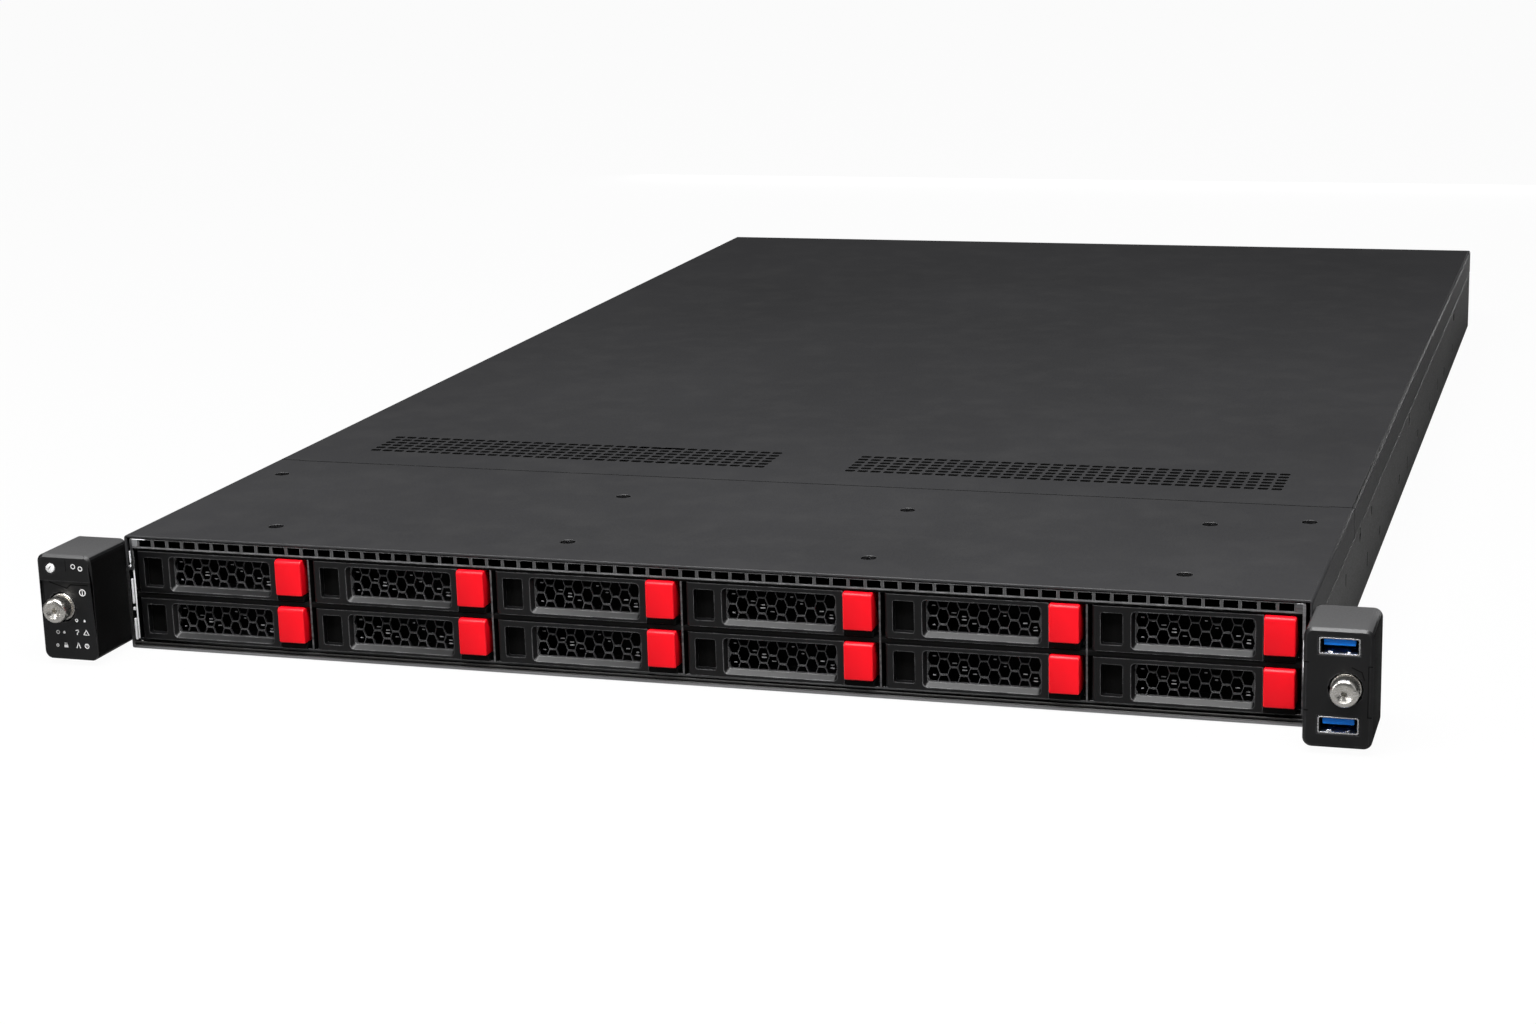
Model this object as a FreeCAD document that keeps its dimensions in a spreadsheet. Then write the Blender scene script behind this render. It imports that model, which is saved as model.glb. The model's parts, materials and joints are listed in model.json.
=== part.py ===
import FreeCAD, Part
import math
import os
import re

import Sketcher

# A one-unit rack server with twelve front drive bays in six columns and two rows.
# Frame: +X to the right seen from the front, +Y towards the back, +Z up, millimetres.
# The origin lies on the underside, midway between the sides, in the plane of the rack's front posts.

SIZES = {
    # sheet metal case
    "body_depth": 740.0, "sheet": 1.0, "fit_gap": 0.3, "front_ahead": 2.0, "side_gap": 1.65,
    "cover_skirt": 12.0, "front_cover_depth": 126.5, "cover_gap": 0.4,
    "lip_height": 3.4, "lip_thickness": 1.5,
    # drive bays
    "columns": 6, "rows": 2, "divider": 0.7, "shelf": 1.7, "roof": 1.0, "bay_gap": 0.25,
    "bezel_height": 15.8, "strip_height": 3.35, "strip_thickness": 1.0, "cage_wall": 1.0,
    "disk_width": 69.85, "disk_height": 15.0, "disk_length": 100.45, "disk_gap": 0.075,
    "disk_setback": 11.5, "rail": 0.4, "rail_height": 9.0, "tray_floor": 0.6, "tray_wall": 0.8,
    "plug_gap": 0.5, "board": 1.6, "backplane_board": 2.4,
    "connector_width": 42.0, "connector_height": 6.0, "connector_depth": 5.0,
    # lever bezels with the window and the honeycomb
    "bezel_side": 1.7, "lever_depth": 4.0, "lever_gap": 0.3, "hinge_radius": 1.5,
    "window_left": 3.0, "window_width": 7.5, "window_rim": 2.3, "window_depth": 3.2,
    "recess_left": 13.3, "recess_right": 2.6, "recess_rim": 1.0, "recess_depth": 2.0,
    "recess_taper": 22.0, "comb_columns": 6, "comb_half": 3.9, "comb_flat": 2.0,
    "comb_rise": 5.7, "comb_web": 0.45,
    # release buttons
    "button_width": 10.5, "button_side": 2.2, "button_proud": 1.8, "button_depth": 9.0,
    "button_bevel": 0.9, "latch_base": 2.2,
    # vent strip over the bays
    "strip_holes": 35, "strip_hole": 10.8, "strip_pitch": 12.2, "strip_rim": 0.5,
    # rack ears, thumbscrews, ports and the power button
    "ear_width": 22.3, "ear_ahead": 25.0, "ear_height": 40.0, "ear_radius": 3.0, "ear_edge": 1.0,
    "screw_out": 13.6, "screw_recess": 5.75, "screw_recess_depth": 3.0, "shank_radius": 2.5,
    "shank_clearance": 0.3, "neck_radius": 2.0, "thread_start": 0.5, "shank_out": 10.0,
    "base_radius": 5.2, "base_length": 2.4,
    "knob_radius": 4.2, "knob_length": 6.2, "socket_radius": 1.75, "socket_depth": 3.0,
    "port_out": 11.4, "port_down": 5.8, "port_rise": 7.8, "port_width": 13.1, "port_height": 5.7,
    "port_wall": 0.3, "port_depth": 14.0, "tongue_width": 9.2, "tongue_height": 1.8,
    "tongue_lift": 0.9, "tongue_setback": 1.0, "step_down": 10.0, "step_depth": 0.8,
    "power_in": 5.7, "power_down": 5.2, "power_radius": 1.75, "power_proud": 0.4,
    "power_depth": 6.0, "power_travel": 0.8,
    # covers
    "vent_start": 150.0, "vent_rows": 6, "vent_row_pitch": 4.9, "vent_columns": 3,
    "vent_width": 173.0, "vent_centre": 102.5, "vent_slot": 2.2, "vent_web": 2.0,
    "screw_head": 2.9, "screw_in": 13.5, "screw_ahead": 23.5,
    # side wall holes for the rack's sliding rails
    "stud_radius": 2.3, "stud_height": 27.0, "stud_first": 147.0, "stud_second": 355.0,
    # fans
    "fans": 6, "fan_size": 40.0, "fan_depth": 56.0, "fan_pitch": 70.0, "fan_start": 192.0,
    "fan_bore": 18.9, "fan_tip_gap": 0.7, "hub_radius": 9.5, "rotor_length": 22.0,
    "blades": 5, "blade": 1.0, "blade_sweep": 9.0, "stator_length": 20.0, "fan_rib": 2.4,
    # mainboard and what stands on it
    "standoff": 5.0, "board_front": 268.0, "board_side": 3.0, "board_back_gap": 1.5,
    "sink_width": 78.0, "sink_length": 108.0, "sink_base": 4.0, "sink_fins": 12, "fin": 0.9,
    "sink_height": 25.0, "sink_shift": 28.0, "sink_centre": 88.0, "processor_height": 6.5,
    "module_length": 133.35, "module_height": 28.0, "module_width": 3.8, "module_pitch": 8.6,
    "module_socket_height": 3.2, "module_socket_width": 6.0, "bank_modules": 4, "bank_gap": 12.0,
    # power supplies
    "supply_width": 73.5, "supply_height": 39.0, "supply_depth": 185.0, "supply_out": 3.0,
    "supply_gap": 1.2, "guide": 1.0, "inlet_width": 27.4, "inlet_height": 19.8,
    "inlet_depth": 14.0, "inlet_in": 20.0, "handle_reach": 20.0, "handle_strap": 3.0,
    "handle_width": 30.0, "handle_height": 12.0, "exhaust_in": 21.0, "exhaust_side": 29.0,
    "exhaust_depth": 4.0,
    # rear connectors
    "jack_count": 4, "jack_pitch": 16.5, "jack_wall": 2.0, "jack_height": 13.4, "jack_depth": 21.0,
    "jack_mouth": 8.0, "jack_start": -150.0, "display_width": 30.8, "display_height": 12.5,
    "display_start": -72.0, "stack_width": 14.6, "stack_height": 15.6, "stack_start": -28.0,
    "slot_width": 107.0, "slot_height": 12.0, "slot_lift": 25.5, "slot_start": -208.0,
    "slot_step": 125.0, "cover_plate": 1.0, "slot_lap": 3.0,
}

# Lengths that follow from the ones above, written in the same words.
DERIVED = {
    "bay_width": "disk_width + 2 * disk_gap + 2 * rail + 2 * bay_gap",
    "column_pitch": "bay_width + divider",
    "cage_width": "columns * column_pitch + divider",
    "half_width": "cage_width / 2 + side_gap + sheet",
    "first_bezel": "lip_height + 2 * bay_gap",
    "row_pitch": "bezel_height + 2 * bay_gap + shelf",
    "roof_under": "first_bezel + (rows - 1) * row_pitch + bezel_height + bay_gap",
    "strip_top": "roof_under + roof + strip_height",
    "body_height": "strip_top + fit_gap + sheet",
    "front": "0 - front_ahead",
    "back": "body_depth - front_ahead",
    "seam": "front_cover_depth - front_ahead",
    "first_divider": "0 - columns * column_pitch / 2",
    "lever_left": "first_divider + bezel_side",
    "lever_width": "column_pitch - bezel_side - button_side - button_width - lever_gap",
    "button_left": "lever_left + lever_width + lever_gap",
    "tray_front": "front + lever_depth + 2 * bay_gap",
    "tray_left": "first_divider + divider / 2 + bay_gap",
    "tray_right": "first_divider + column_pitch - divider / 2 - bay_gap",
    "disk_front": "tray_front + disk_setback",
    "disk_back": "disk_front + disk_length",
    "backplane_front": "disk_back + plug_gap + connector_depth",
    "bezel_middle": "first_bezel + bezel_height / 2",
    "recess_floor_left": "lever_left + recess_left + recess_rim",
    "recess_floor_right": "lever_left + lever_width - recess_right - recess_rim",
    "comb_pitch": "(recess_floor_right - recess_floor_left - 2 * comb_half) / (comb_columns - 1)",
    "comb_height": "(comb_rise - comb_web) / 2",
    "ear_front": "front - ear_ahead",
    "ear_bottom": "(body_height - ear_height) / 2",
    "ear_top": "ear_bottom + ear_height",
    "ear_outer": "half_width + ear_width",
    "screw_x": "half_width + screw_out",
    "screw_z": "body_height / 2",
    "skirt_end": "body_height - cover_skirt",
    "wall_jog": "skirt_end - fit_gap",
    "fan_x_first": "0 - (fans - 1) * fan_pitch / 2",
    "fan_axis": "sheet + fan_size / 2",
    "board_under": "sheet + standoff",
    "board_top": "board_under + board",
    "supply_right": "inner_side - supply_gap",
    "supply_left": "supply_right - 2 * supply_width - supply_gap",
    "supply_back": "back + supply_out",
    "supply_front": "supply_back - supply_depth",
    "inner_side": "half_width - 2 * sheet - fit_gap",
    "vent_pitch": "vent_width / vent_columns",
    "sink_middle": "(board_front + supply_front) / 2 - sink_shift",
}


def formula(text):
    """Turn words for sizes into cell names, so that a formula can be bound to the sheet."""
    def cell(match):
        word = match.group()
        if word in DERIVED:
            return "(" + formula(DERIVED[word]) + ")"
        return "Sizes." + word if word in SIZES else word
    return re.sub(r"[a-z][a-z_]*", cell, text)


doc = FreeCAD.newDocument("RackServer")
sheet = doc.addObject("Spreadsheet::Sheet", "Sizes")
for row, (alias, value) in enumerate(SIZES.items(), start=1):
    sheet.set("A%d" % row, alias)
    sheet.set("B%d" % row, str(value))
    sheet.setAlias("B%d" % row, alias)
doc.recompute()

nodes = []


def number(text):
    """Value of a formula now, for loops that need a plain number."""
    return float(sheet.evalExpression(formula(text)))


def bind(thing, **properties):
    """Bind properties to formulas; a double underscore stands for a dot."""
    for name, text in properties.items():
        thing.setExpression(name.replace("__", "."), formula(text))
    return thing


def place(thing, x="0", y="0", z="0"):
    """Bind the position of an object."""
    for axis, text in (("x", x), ("y", y), ("z", z)):
        thing.setExpression(".Placement.Base." + axis, formula(text))
    return thing


def new_body(name):
    return doc.addObject("PartDesign::Body", name)


def rectangle(left, low, right, high):
    return [(left, low), (right, low), (right, high), (left, high)]


def disc(across, up, radius):
    return ("disc", across, up, radius)


def polygon(sides, radius, across="0", up="0"):
    """Corners of a regular outline, evenly spaced on a circle."""
    turns = [2 * math.pi * i / sides for i in range(sides)]
    return [("%s + %.7f * (%s)" % (across, math.cos(a), radius),
             "%s + %.7f * (%s)" % (up, math.sin(a), radius)) for a in turns]


# Each plane of a body: how far its normal turns the start, and which way pads and pockets reverse.
PLANES = {"XY_Plane": (1, False), "XZ_Plane": (-1, True), "YZ_Plane": (1, False)}


def add_sketch(body, name, role, outlines, start="0"):
    """Closed outlines on an origin plane of the body, each corner held by two bound distances."""
    sketch = body.newObject("Sketcher::SketchObject", name)
    origin_plane = [f for f in body.Origin.OriginFeatures if f.Role == role][0]
    sketch.AttachmentSupport = [(origin_plane, "")]
    sketch.MapMode = "FlatFace"
    sign = PLANES[role][0]
    sketch.setExpression("AttachmentOffset.Base.z", formula("%d * (%s)" % (sign, start)))
    for outline in outlines:
        if outline[0] == "disc":
            add_circle(sketch, *outline[1:])
        else:
            add_outline(sketch, outline)
    return sketch


def hold(sketch, kind, geometry, point, text):
    """Constrain a point of the sketch to its origin and bind the distance."""
    index = sketch.addConstraint(Sketcher.Constraint(kind, -1, 1, geometry, point, number(text)))
    sketch.setExpression("Constraints[%d]" % index, formula(text))


def add_outline(sketch, corners):
    first = sketch.GeometryCount
    count = len(corners)
    points = [FreeCAD.Vector(number(x), number(y), 0) for x, y in corners]
    for i in range(count):
        sketch.addGeometry(Part.LineSegment(points[i], points[(i + 1) % count]), False)
    for i in range(count):
        following = first + (i + 1) % count
        sketch.addConstraint(Sketcher.Constraint("Coincident", first + i, 2, following, 1))
    for i, (x, y) in enumerate(corners):
        hold(sketch, "DistanceX", first + i, 1, x)
        hold(sketch, "DistanceY", first + i, 1, y)


def add_circle(sketch, across, up, radius):
    centre = FreeCAD.Vector(number(across), number(up), 0)
    normal = FreeCAD.Vector(0, 0, 1)
    index = sketch.addGeometry(Part.Circle(centre, normal, number(radius)), False)
    hold(sketch, "DistanceX", index, 3, across)
    hold(sketch, "DistanceY", index, 3, up)
    round_size = sketch.addConstraint(Sketcher.Constraint("Radius", index, number(radius)))
    sketch.setExpression("Constraints[%d]" % round_size, formula(radius))


def pad(body, name, role, outlines, start, end):
    """Material between two distances along the plane's axis."""
    sketch = add_sketch(body, name + "_sketch", role, outlines, start)
    feature = body.newObject("PartDesign::Pad", name)
    feature.Profile = sketch
    feature.Reversed = PLANES[role][1]
    return bind(feature, Length="(%s) - (%s)" % (end, start))


def pocket(body, name, role, outlines, start, end):
    """Cut between two distances along the plane's axis."""
    sketch = add_sketch(body, name + "_sketch", role, outlines, start)
    feature = body.newObject("PartDesign::Pocket", name)
    feature.Profile = sketch
    feature.Reversed = not PLANES[role][1]
    return bind(feature, Length="(%s) - (%s)" % (end, start))


def repeat(body, name, feature, count, step, count_up="1", step_up="0"):
    """Rows of a feature along its sketch's own two axes."""
    pattern = body.newObject("PartDesign::LinearPattern", name)
    pattern.Originals = [feature]
    pattern.Direction = (feature.Profile[0], ["H_Axis"])
    bind(pattern, Occurrences=count, Length="(%s - 1) * (%s)" % (count, step))
    if number(count_up) > 1:
        pattern.Direction2 = (feature.Profile[0], ["V_Axis"])
        bind(pattern, Occurrences2=count_up, Length2="(%s - 1) * (%s)" % (count_up, step_up))
    body.Tip = pattern
    return pattern


def round_edges(body, name, base, radius, chosen):
    """Fillet the edges of a feature that a test on the edge picks."""
    doc.recompute()
    names = ["Edge%d" % (i + 1) for i, edge in enumerate(base.Shape.Edges) if chosen(edge)]
    fillet = body.newObject("PartDesign::Fillet", name)
    fillet.Base = (base, names)
    return bind(fillet, Radius=radius)


def bevel_edges(body, name, base, size, chosen):
    """Chamfer the edges of a feature that a test on the edge picks."""
    doc.recompute()
    names = ["Edge%d" % (i + 1) for i, edge in enumerate(base.Shape.Edges) if chosen(edge)]
    chamfer = body.newObject("PartDesign::Chamfer", name)
    chamfer.Base = (base, names)
    return bind(chamfer, Size=size)


def runs_along(edge, axis):
    """True for a straight edge along an axis, 0 for X, 1 for Y and 2 for Z."""
    box = edge.BoundBox
    lengths = [box.XLength, box.YLength, box.ZLength]
    return max(lengths[:axis] + lengths[axis + 1:]) < 1e-4 and lengths[axis] > 1e-4


def copy_of(thing, name, x="0", y="0", z="0"):
    """A placed copy of an object."""
    duplicate = doc.addObject("Part::Compound", name)
    duplicate.Links = [thing]
    return place(duplicate, x, y, z)


def group_of(things, name):
    """Separate solids that share one node."""
    group = doc.addObject("Part::Compound", name)
    group.Links = things
    return group


def block(name, x, y, z):
    """A box between pairs of formulas."""
    box = doc.addObject("Part::Box", name)
    for side, (low, high) in zip(("Length", "Width", "Height"), (x, y, z)):
        box.setExpression(side, formula("(%s) - (%s)" % (high, low)))
    return place(box, x[0], y[0], z[0])


def node(thing, label):
    """Name an object as a sub-part of its own."""
    thing.Label = label
    nodes.append(thing)
    return thing


# Case


def case_profile():
    """Floor and side walls in one bend, each wall set back behind the cover's skirt."""
    outer = [("half_width", "0"), ("half_width", "wall_jog"),
             ("half_width - sheet - fit_gap", "wall_jog"),
             ("half_width - sheet - fit_gap", "body_height - sheet - fit_gap"),
             ("inner_side", "body_height - sheet - fit_gap"),
             ("inner_side", "wall_jog - sheet"), ("half_width - sheet", "wall_jog - sheet"),
             ("half_width - sheet", "sheet")]
    mirrored = [("0 - (%s)" % x, z) for x, z in reversed(outer)]
    return outer + mirrored


def rear_openings():
    """Cut-outs of the rear wall: power supplies, jacks, display, port stack and slots."""
    margin = "fit_gap"
    low = "board_top - fit_gap"
    openings = [rectangle("supply_left - supply_gap / 2", "sheet",
                          "supply_right + supply_gap / 2", "sheet + supply_height + supply_gap")]
    for start, width, height in (("jack_start", "jack_count * jack_pitch", "jack_height"),
                                 ("display_start", "display_width", "display_height"),
                                 ("stack_start", "stack_width", "stack_height")):
        openings.append(rectangle("%s - %s" % (start, margin), low,
                                  "%s + %s + %s" % (start, width, margin),
                                  "board_top + %s + %s" % (height, margin)))
    for step in ("0", "slot_step"):
        openings.append(rectangle("slot_start + " + step, "slot_lift",
                                  "slot_start + slot_width + " + step, "slot_lift + slot_height"))
    return openings


def make_chassis():
    body = new_body("case_body")
    pad(body, "case_walls", "XZ_Plane", [case_profile()], "front", "back")
    pad(body, "front_lip", "XZ_Plane",
        [rectangle("0 - half_width + sheet / 2", "sheet / 2", "half_width - sheet / 2",
                   "lip_height")], "front", "front + lip_thickness")
    wall = new_body("rear_wall_body")
    pad(wall, "rear_wall", "XZ_Plane",
        [rectangle("sheet - half_width", "sheet", "half_width - sheet", "wall_jog - sheet"),
         rectangle("0 - inner_side", "wall_jog - sheet", "inner_side",
                   "body_height - sheet - fit_gap")], "back - sheet", "back")
    pocket(wall, "rear_cuts", "XZ_Plane", rear_openings(), "back - 2 * sheet", "back + sheet")
    guide = block("supply_guide",
                  ("supply_left - supply_gap / 2 - guide", "supply_left - supply_gap / 2"),
                  ("supply_front", "back - sheet"), ("sheet", "board_top + module_height"))
    studs = [disc(y, "stud_height", "stud_radius") for y in ("stud_first", "stud_second")]
    for side, start, end in (("left", "0 - half_width - sheet", "sheet - half_width + fit_gap"),
                             ("right", "half_width - sheet - fit_gap", "half_width + sheet")):
        pocket(body, "rail_holes_" + side, "YZ_Plane", studs, start, end)
    covers = [block("slot_cover_%d" % (i + 1),
                    ("slot_start - slot_lap + " + step, "slot_start + slot_width + slot_lap + " + step),
                    ("back - sheet - cover_plate", "back - sheet"),
                    ("slot_lift - slot_lap / 2", "slot_lift + slot_height + slot_lap / 2"))
              for i, step in enumerate(("0", "slot_step"))]
    node(group_of([body, wall, guide] + covers, "case"), "chassis_tray")


def skirted_profile():
    """A lid that folds down over both side walls."""
    outer = [("half_width", "skirt_end"), ("half_width", "body_height")]
    inner = [("half_width - sheet", "body_height - sheet"), ("half_width - sheet", "skirt_end")]
    left = [("0 - half_width", "body_height"), ("0 - half_width", "skirt_end")]
    back_inner = [("sheet - half_width", "skirt_end"), ("sheet - half_width", "body_height - sheet")]
    return outer + left + back_inner + inner


def cover_screw_places():
    """The two screws that hold the front cover stand near its rear corners."""
    return [(sign + "(half_width - screw_in)", "seam - screw_ahead") for sign in ("0 - ", "")]


def make_covers():
    front = new_body("front_lid")
    pad(front, "front_lid_bend", "XZ_Plane", [skirted_profile()], "front", "seam")
    pocket(front, "front_lid_holes", "XY_Plane",
           [polygon(12, "screw_head + fit_gap / 2", x, y) for x, y in cover_screw_places()],
           "body_height - 2 * sheet", "body_height + sheet")
    node(front, "front_cover")

    rear = new_body("rear_lid")
    pad(rear, "rear_lid_bend", "XZ_Plane", [skirted_profile()], "seam + cover_gap", "back")
    for side, centre in (("left", "0 - vent_centre"), ("right", "vent_centre")):
        left = "%s - vent_width / 2 + vent_web / 2" % centre
        slot = pocket(rear, "vent_" + side, "XY_Plane",
                      [rectangle(left, "vent_start - front_ahead", left + " + vent_pitch - vent_web",
                                 "vent_start - front_ahead + vent_slot")],
                      "body_height - 2 * sheet", "body_height + sheet")
        repeat(rear, "vents_" + side, slot, "vent_columns", "vent_pitch",
               "vent_rows", "vent_row_pitch")
    node(rear, "rear_cover")

    screws = []
    for i, (x, y) in enumerate(cover_screw_places(), start=1):
        head = new_body("screw_%d" % i)
        pad(head, "screw_head_%d" % i, "XY_Plane", [polygon(12, "screw_head", x, y)],
            "strip_top", "body_height")
        screws.append(head)
    node(group_of(screws, "lid_screws"), "cover_screws")


# Drive cage, backplane and the twelve bays


def make_cage():
    """Pan, dividers, shelves and roof of plain sheet, with the vent strip along the roof's front."""
    half = "cage_width / 2"
    cage_front = "front + fit_gap"
    behind_lip = "front + lip_thickness + fit_gap"
    pan_top = "first_bezel - bay_gap"
    pan_under = pan_top + " - cage_wall"
    across = ("0 - " + half, half)
    along = (behind_lip, "backplane_front")
    plates = [block("cage_pan", across, along, (pan_under, pan_top)),
              block("cage_roof", across, (cage_front, "backplane_front"),
                    ("roof_under", "roof_under + roof"))]
    for side, edges in (("left", ("0 - " + half, "cage_wall - " + half)),
                        ("right", (half + " - cage_wall", half))):
        plates.append(block("cage_foot_" + side, edges, along, ("sheet", pan_under)))
    for i in range(int(number("columns")) + 1):
        middle = "first_divider + %d * column_pitch" % i
        plates.append(block("divider_%d" % (i + 1),
                            (middle + " - divider / 2", middle + " + divider / 2"),
                            (cage_front, "backplane_front"), (pan_top, "roof_under")))
    for row in range(int(number("rows")) - 1):
        under = "first_bezel + bezel_height + bay_gap + %d * row_pitch" % row
        for i in range(int(number("columns"))):
            left = "first_divider + %d * column_pitch + divider / 2" % i
            plates.append(block("shelf_%d_%d" % (row + 1, i + 1),
                                (left, left + " + column_pitch - divider"),
                                (cage_front, "backplane_front"), (under, under + " + shelf")))
    strip = new_body("strip_body")
    pad(strip, "strip", "XZ_Plane",
        [rectangle("0 - " + half, "roof_under + roof", half, "strip_top")],
        cage_front, cage_front + " + strip_thickness")
    left = "0 - ((strip_holes - 1) * strip_pitch + strip_hole) / 2"
    hole = pocket(strip, "strip_opening", "XZ_Plane",
                  [rectangle(left, "roof_under + roof - 1", left + " + strip_hole",
                             "strip_top - strip_rim")],
                  "front - sheet", cage_front + " + 2 * strip_thickness")
    repeat(strip, "strip_openings", hole, "strip_holes", "strip_pitch")
    node(group_of(plates + [strip], "cage"), "drive_cage")


def make_backplane():
    body = new_body("backplane_body")
    pad(body, "backplane_board", "XZ_Plane",
        [rectangle("0 - cage_width / 2", "sheet + standoff / 2", "cage_width / 2", "roof_under")],
        "backplane_front", "backplane_front + backplane_board")
    middle = "first_divider + column_pitch / 2"
    plug = pad(body, "drive_connector", "XZ_Plane",
               [rectangle(middle + " - connector_width / 2", "bezel_middle - connector_height / 2",
                          middle + " + connector_width / 2",
                          "bezel_middle + connector_height / 2")],
               "backplane_front - connector_depth", "backplane_front + backplane_board / 2")
    repeat(body, "drive_connectors", plug, "columns", "column_pitch", "rows", "row_pitch")
    node(body, "backplane")


def make_tray():
    """Floor with two rails, a front wall behind the lever and the block that holds the button."""
    body = new_body("tray_body")
    floor_top = "first_bezel + tray_floor"
    profile = [("tray_left", "first_bezel"), ("tray_right", "first_bezel"),
               ("tray_right", "first_bezel + rail_height"),
               ("tray_right - rail", "first_bezel + rail_height"),
               ("tray_right - rail", floor_top), ("tray_left + rail", floor_top),
               ("tray_left + rail", "first_bezel + rail_height"),
               ("tray_left", "first_bezel + rail_height")]
    pad(body, "tray_channel", "XZ_Plane", [profile], "tray_front", "disk_back")
    wall = rectangle("tray_left", "first_bezel", "button_left - lever_gap",
                     "first_bezel + bezel_height")
    window = rectangle("recess_floor_left", "first_bezel + 2 * recess_rim", "recess_floor_right",
                       "first_bezel + bezel_height - 2 * recess_rim")
    pad(body, "tray_front_wall", "XZ_Plane", [wall, window], "tray_front",
        "tray_front + tray_wall")
    pad(body, "latch_block", "XZ_Plane",
        [rectangle("button_left", "first_bezel", "button_left + button_width",
                   "first_bezel + latch_base")], "front", "tray_front + tray_wall")
    disk = block("disk", ("tray_left + rail + disk_gap", "tray_right - rail - disk_gap"),
                 ("disk_front", "disk_back"), (floor_top, floor_top + " + disk_height"))
    return group_of([body, disk], "tray_master")


def comb_cell(across, up):
    """One six-sided cell, wider at its waist than at its flat top and bottom."""
    return [("%s + comb_half" % across, up), ("%s + comb_flat" % across, up + " + comb_height"),
            ("%s - comb_flat" % across, up + " + comb_height"), ("%s - comb_half" % across, up),
            ("%s - comb_flat" % across, up + " - comb_height"),
            ("%s + comb_flat" % across, up + " - comb_height")]


def make_lever():
    """Bezel that swings out about its bevelled left end, with a window and a honeycomb."""
    body = new_body("lever_body")
    right = "lever_left + lever_width"
    top = "first_bezel + bezel_height"
    plate = pad(body, "lever_plate", "XZ_Plane",
                [rectangle("lever_left", "first_bezel", right, top)], "front",
                "front + lever_depth")
    bevel_edges(body, "lever_end", plate, "hinge_radius",
                lambda e: runs_along(e, 2) and e.BoundBox.XMax < number("lever_left") + 1e-3)
    pocket(body, "window", "XZ_Plane",
           [rectangle("lever_left + window_left", "first_bezel + window_rim",
                      "lever_left + window_left + window_width", top + " - window_rim")],
           "front", "front + window_depth")
    recess = pocket(body, "recess", "XZ_Plane",
                    [rectangle("lever_left + recess_left", "first_bezel + recess_rim",
                               right + " - recess_right", top + " - recess_rim")],
                    "front", "front + recess_depth")
    bind(recess, TaperAngle="0 - recess_taper")
    across = "(recess_floor_left + comb_half)"
    through = ("front - sheet", "front + lever_depth + sheet")
    pair = pocket(body, "comb_pair", "XZ_Plane",
                  [comb_cell(across, "bezel_middle - comb_rise / 2"),
                   comb_cell(across, "bezel_middle + comb_rise / 2")], *through)
    repeat(body, "comb_pairs", pair, "ceil(comb_columns / 2)", "2 * comb_pitch")
    single = pocket(body, "comb_single", "XZ_Plane",
                    [comb_cell(across + " + comb_pitch", "bezel_middle")], *through)
    repeat(body, "comb_singles", single, "floor(comb_columns / 2)", "2 * comb_pitch")
    return body


def make_button():
    """Red release button with a bevelled top edge."""
    body = new_body("button_body")
    low = "first_bezel + latch_base + bay_gap"
    top = "first_bezel + bezel_height"
    face = "front - button_proud"
    profile = [(face, low), ("front + button_depth", low), ("front + button_depth", top),
               (face + " + button_bevel", top), (face, top + " - button_bevel")]
    pad(body, "button_block", "YZ_Plane", [profile], "button_left",
        "button_left + button_width")
    return body


def make_bays():
    masters = (("drive_tray", make_tray()), ("tray_lever", make_lever()),
               ("release_button", make_button()))
    columns = int(number("columns"))
    for row in range(int(number("rows"))):
        for column in range(columns):
            place_number = row * columns + column + 1
            for word, master in masters:
                name = "%s_%02d" % (word, place_number)
                node(copy_of(master, "at_" + name, "%d * column_pitch" % column, "0",
                             "%d * row_pitch" % row), name)


# Rack ears


def ear_body(side, sign):
    """Moulded ear in front of the rack post, with a recess round the thumbscrew."""
    body = new_body(side + "_ear_body")
    inner, outer = sorted((sign + "half_width", sign + "ear_outer"), key=number)
    plate = pad(body, side + "_ear_block", "XZ_Plane",
                [rectangle(inner, "ear_bottom", outer, "ear_top")], "ear_front", "0")
    corners = round_edges(body, side + "_ear_corners", plate, "ear_radius",
                          lambda e: runs_along(e, 1))
    bevel_edges(body, side + "_ear_front_edge", corners, "ear_edge",
                lambda e: e.BoundBox.YMax < number("ear_front") + 1e-3)
    screw_x = sign + "screw_x"
    pocket(body, side + "_screw_recess", "XZ_Plane",
           [polygon(12, "screw_recess", screw_x, "screw_z")], "ear_front - 1",
           "ear_front + screw_recess_depth")
    pocket(body, side + "_screw_hole", "XZ_Plane",
           [disc(screw_x, "screw_z", "shank_radius + shank_clearance")], "ear_front", "1")
    return body


def make_ears():
    left = ear_body("left", "0 - ")
    power_x = "power_in - ear_outer"
    power_z = "ear_top - power_down"
    pocket(left, "left_step", "XZ_Plane",
           [rectangle("0 - ear_outer - 1", "ear_bottom - 1", "1 - half_width",
                      "ear_top - step_down")], "ear_front - 1", "ear_front + step_depth")
    pocket(left, "power_well", "XZ_Plane", [disc(power_x, power_z, "power_radius + fit_gap")],
           "ear_front - 1", "ear_front + power_depth + power_travel + fit_gap")
    node(left, "left_ear")
    button = new_body("power_body")
    pad(button, "power_cap", "XZ_Plane", [disc(power_x, power_z, "power_radius")],
        "ear_front - power_proud", "ear_front + power_depth")
    node(button, "power_button")

    right = ear_body("right", "")
    ports = []
    for i, height in enumerate(("ear_bottom + port_rise", "ear_top - port_down"), start=1):
        ports += make_port(right, i, height)
    node(right, "right_ear")
    node(group_of(ports, "ports"), "usb_ports")


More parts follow.
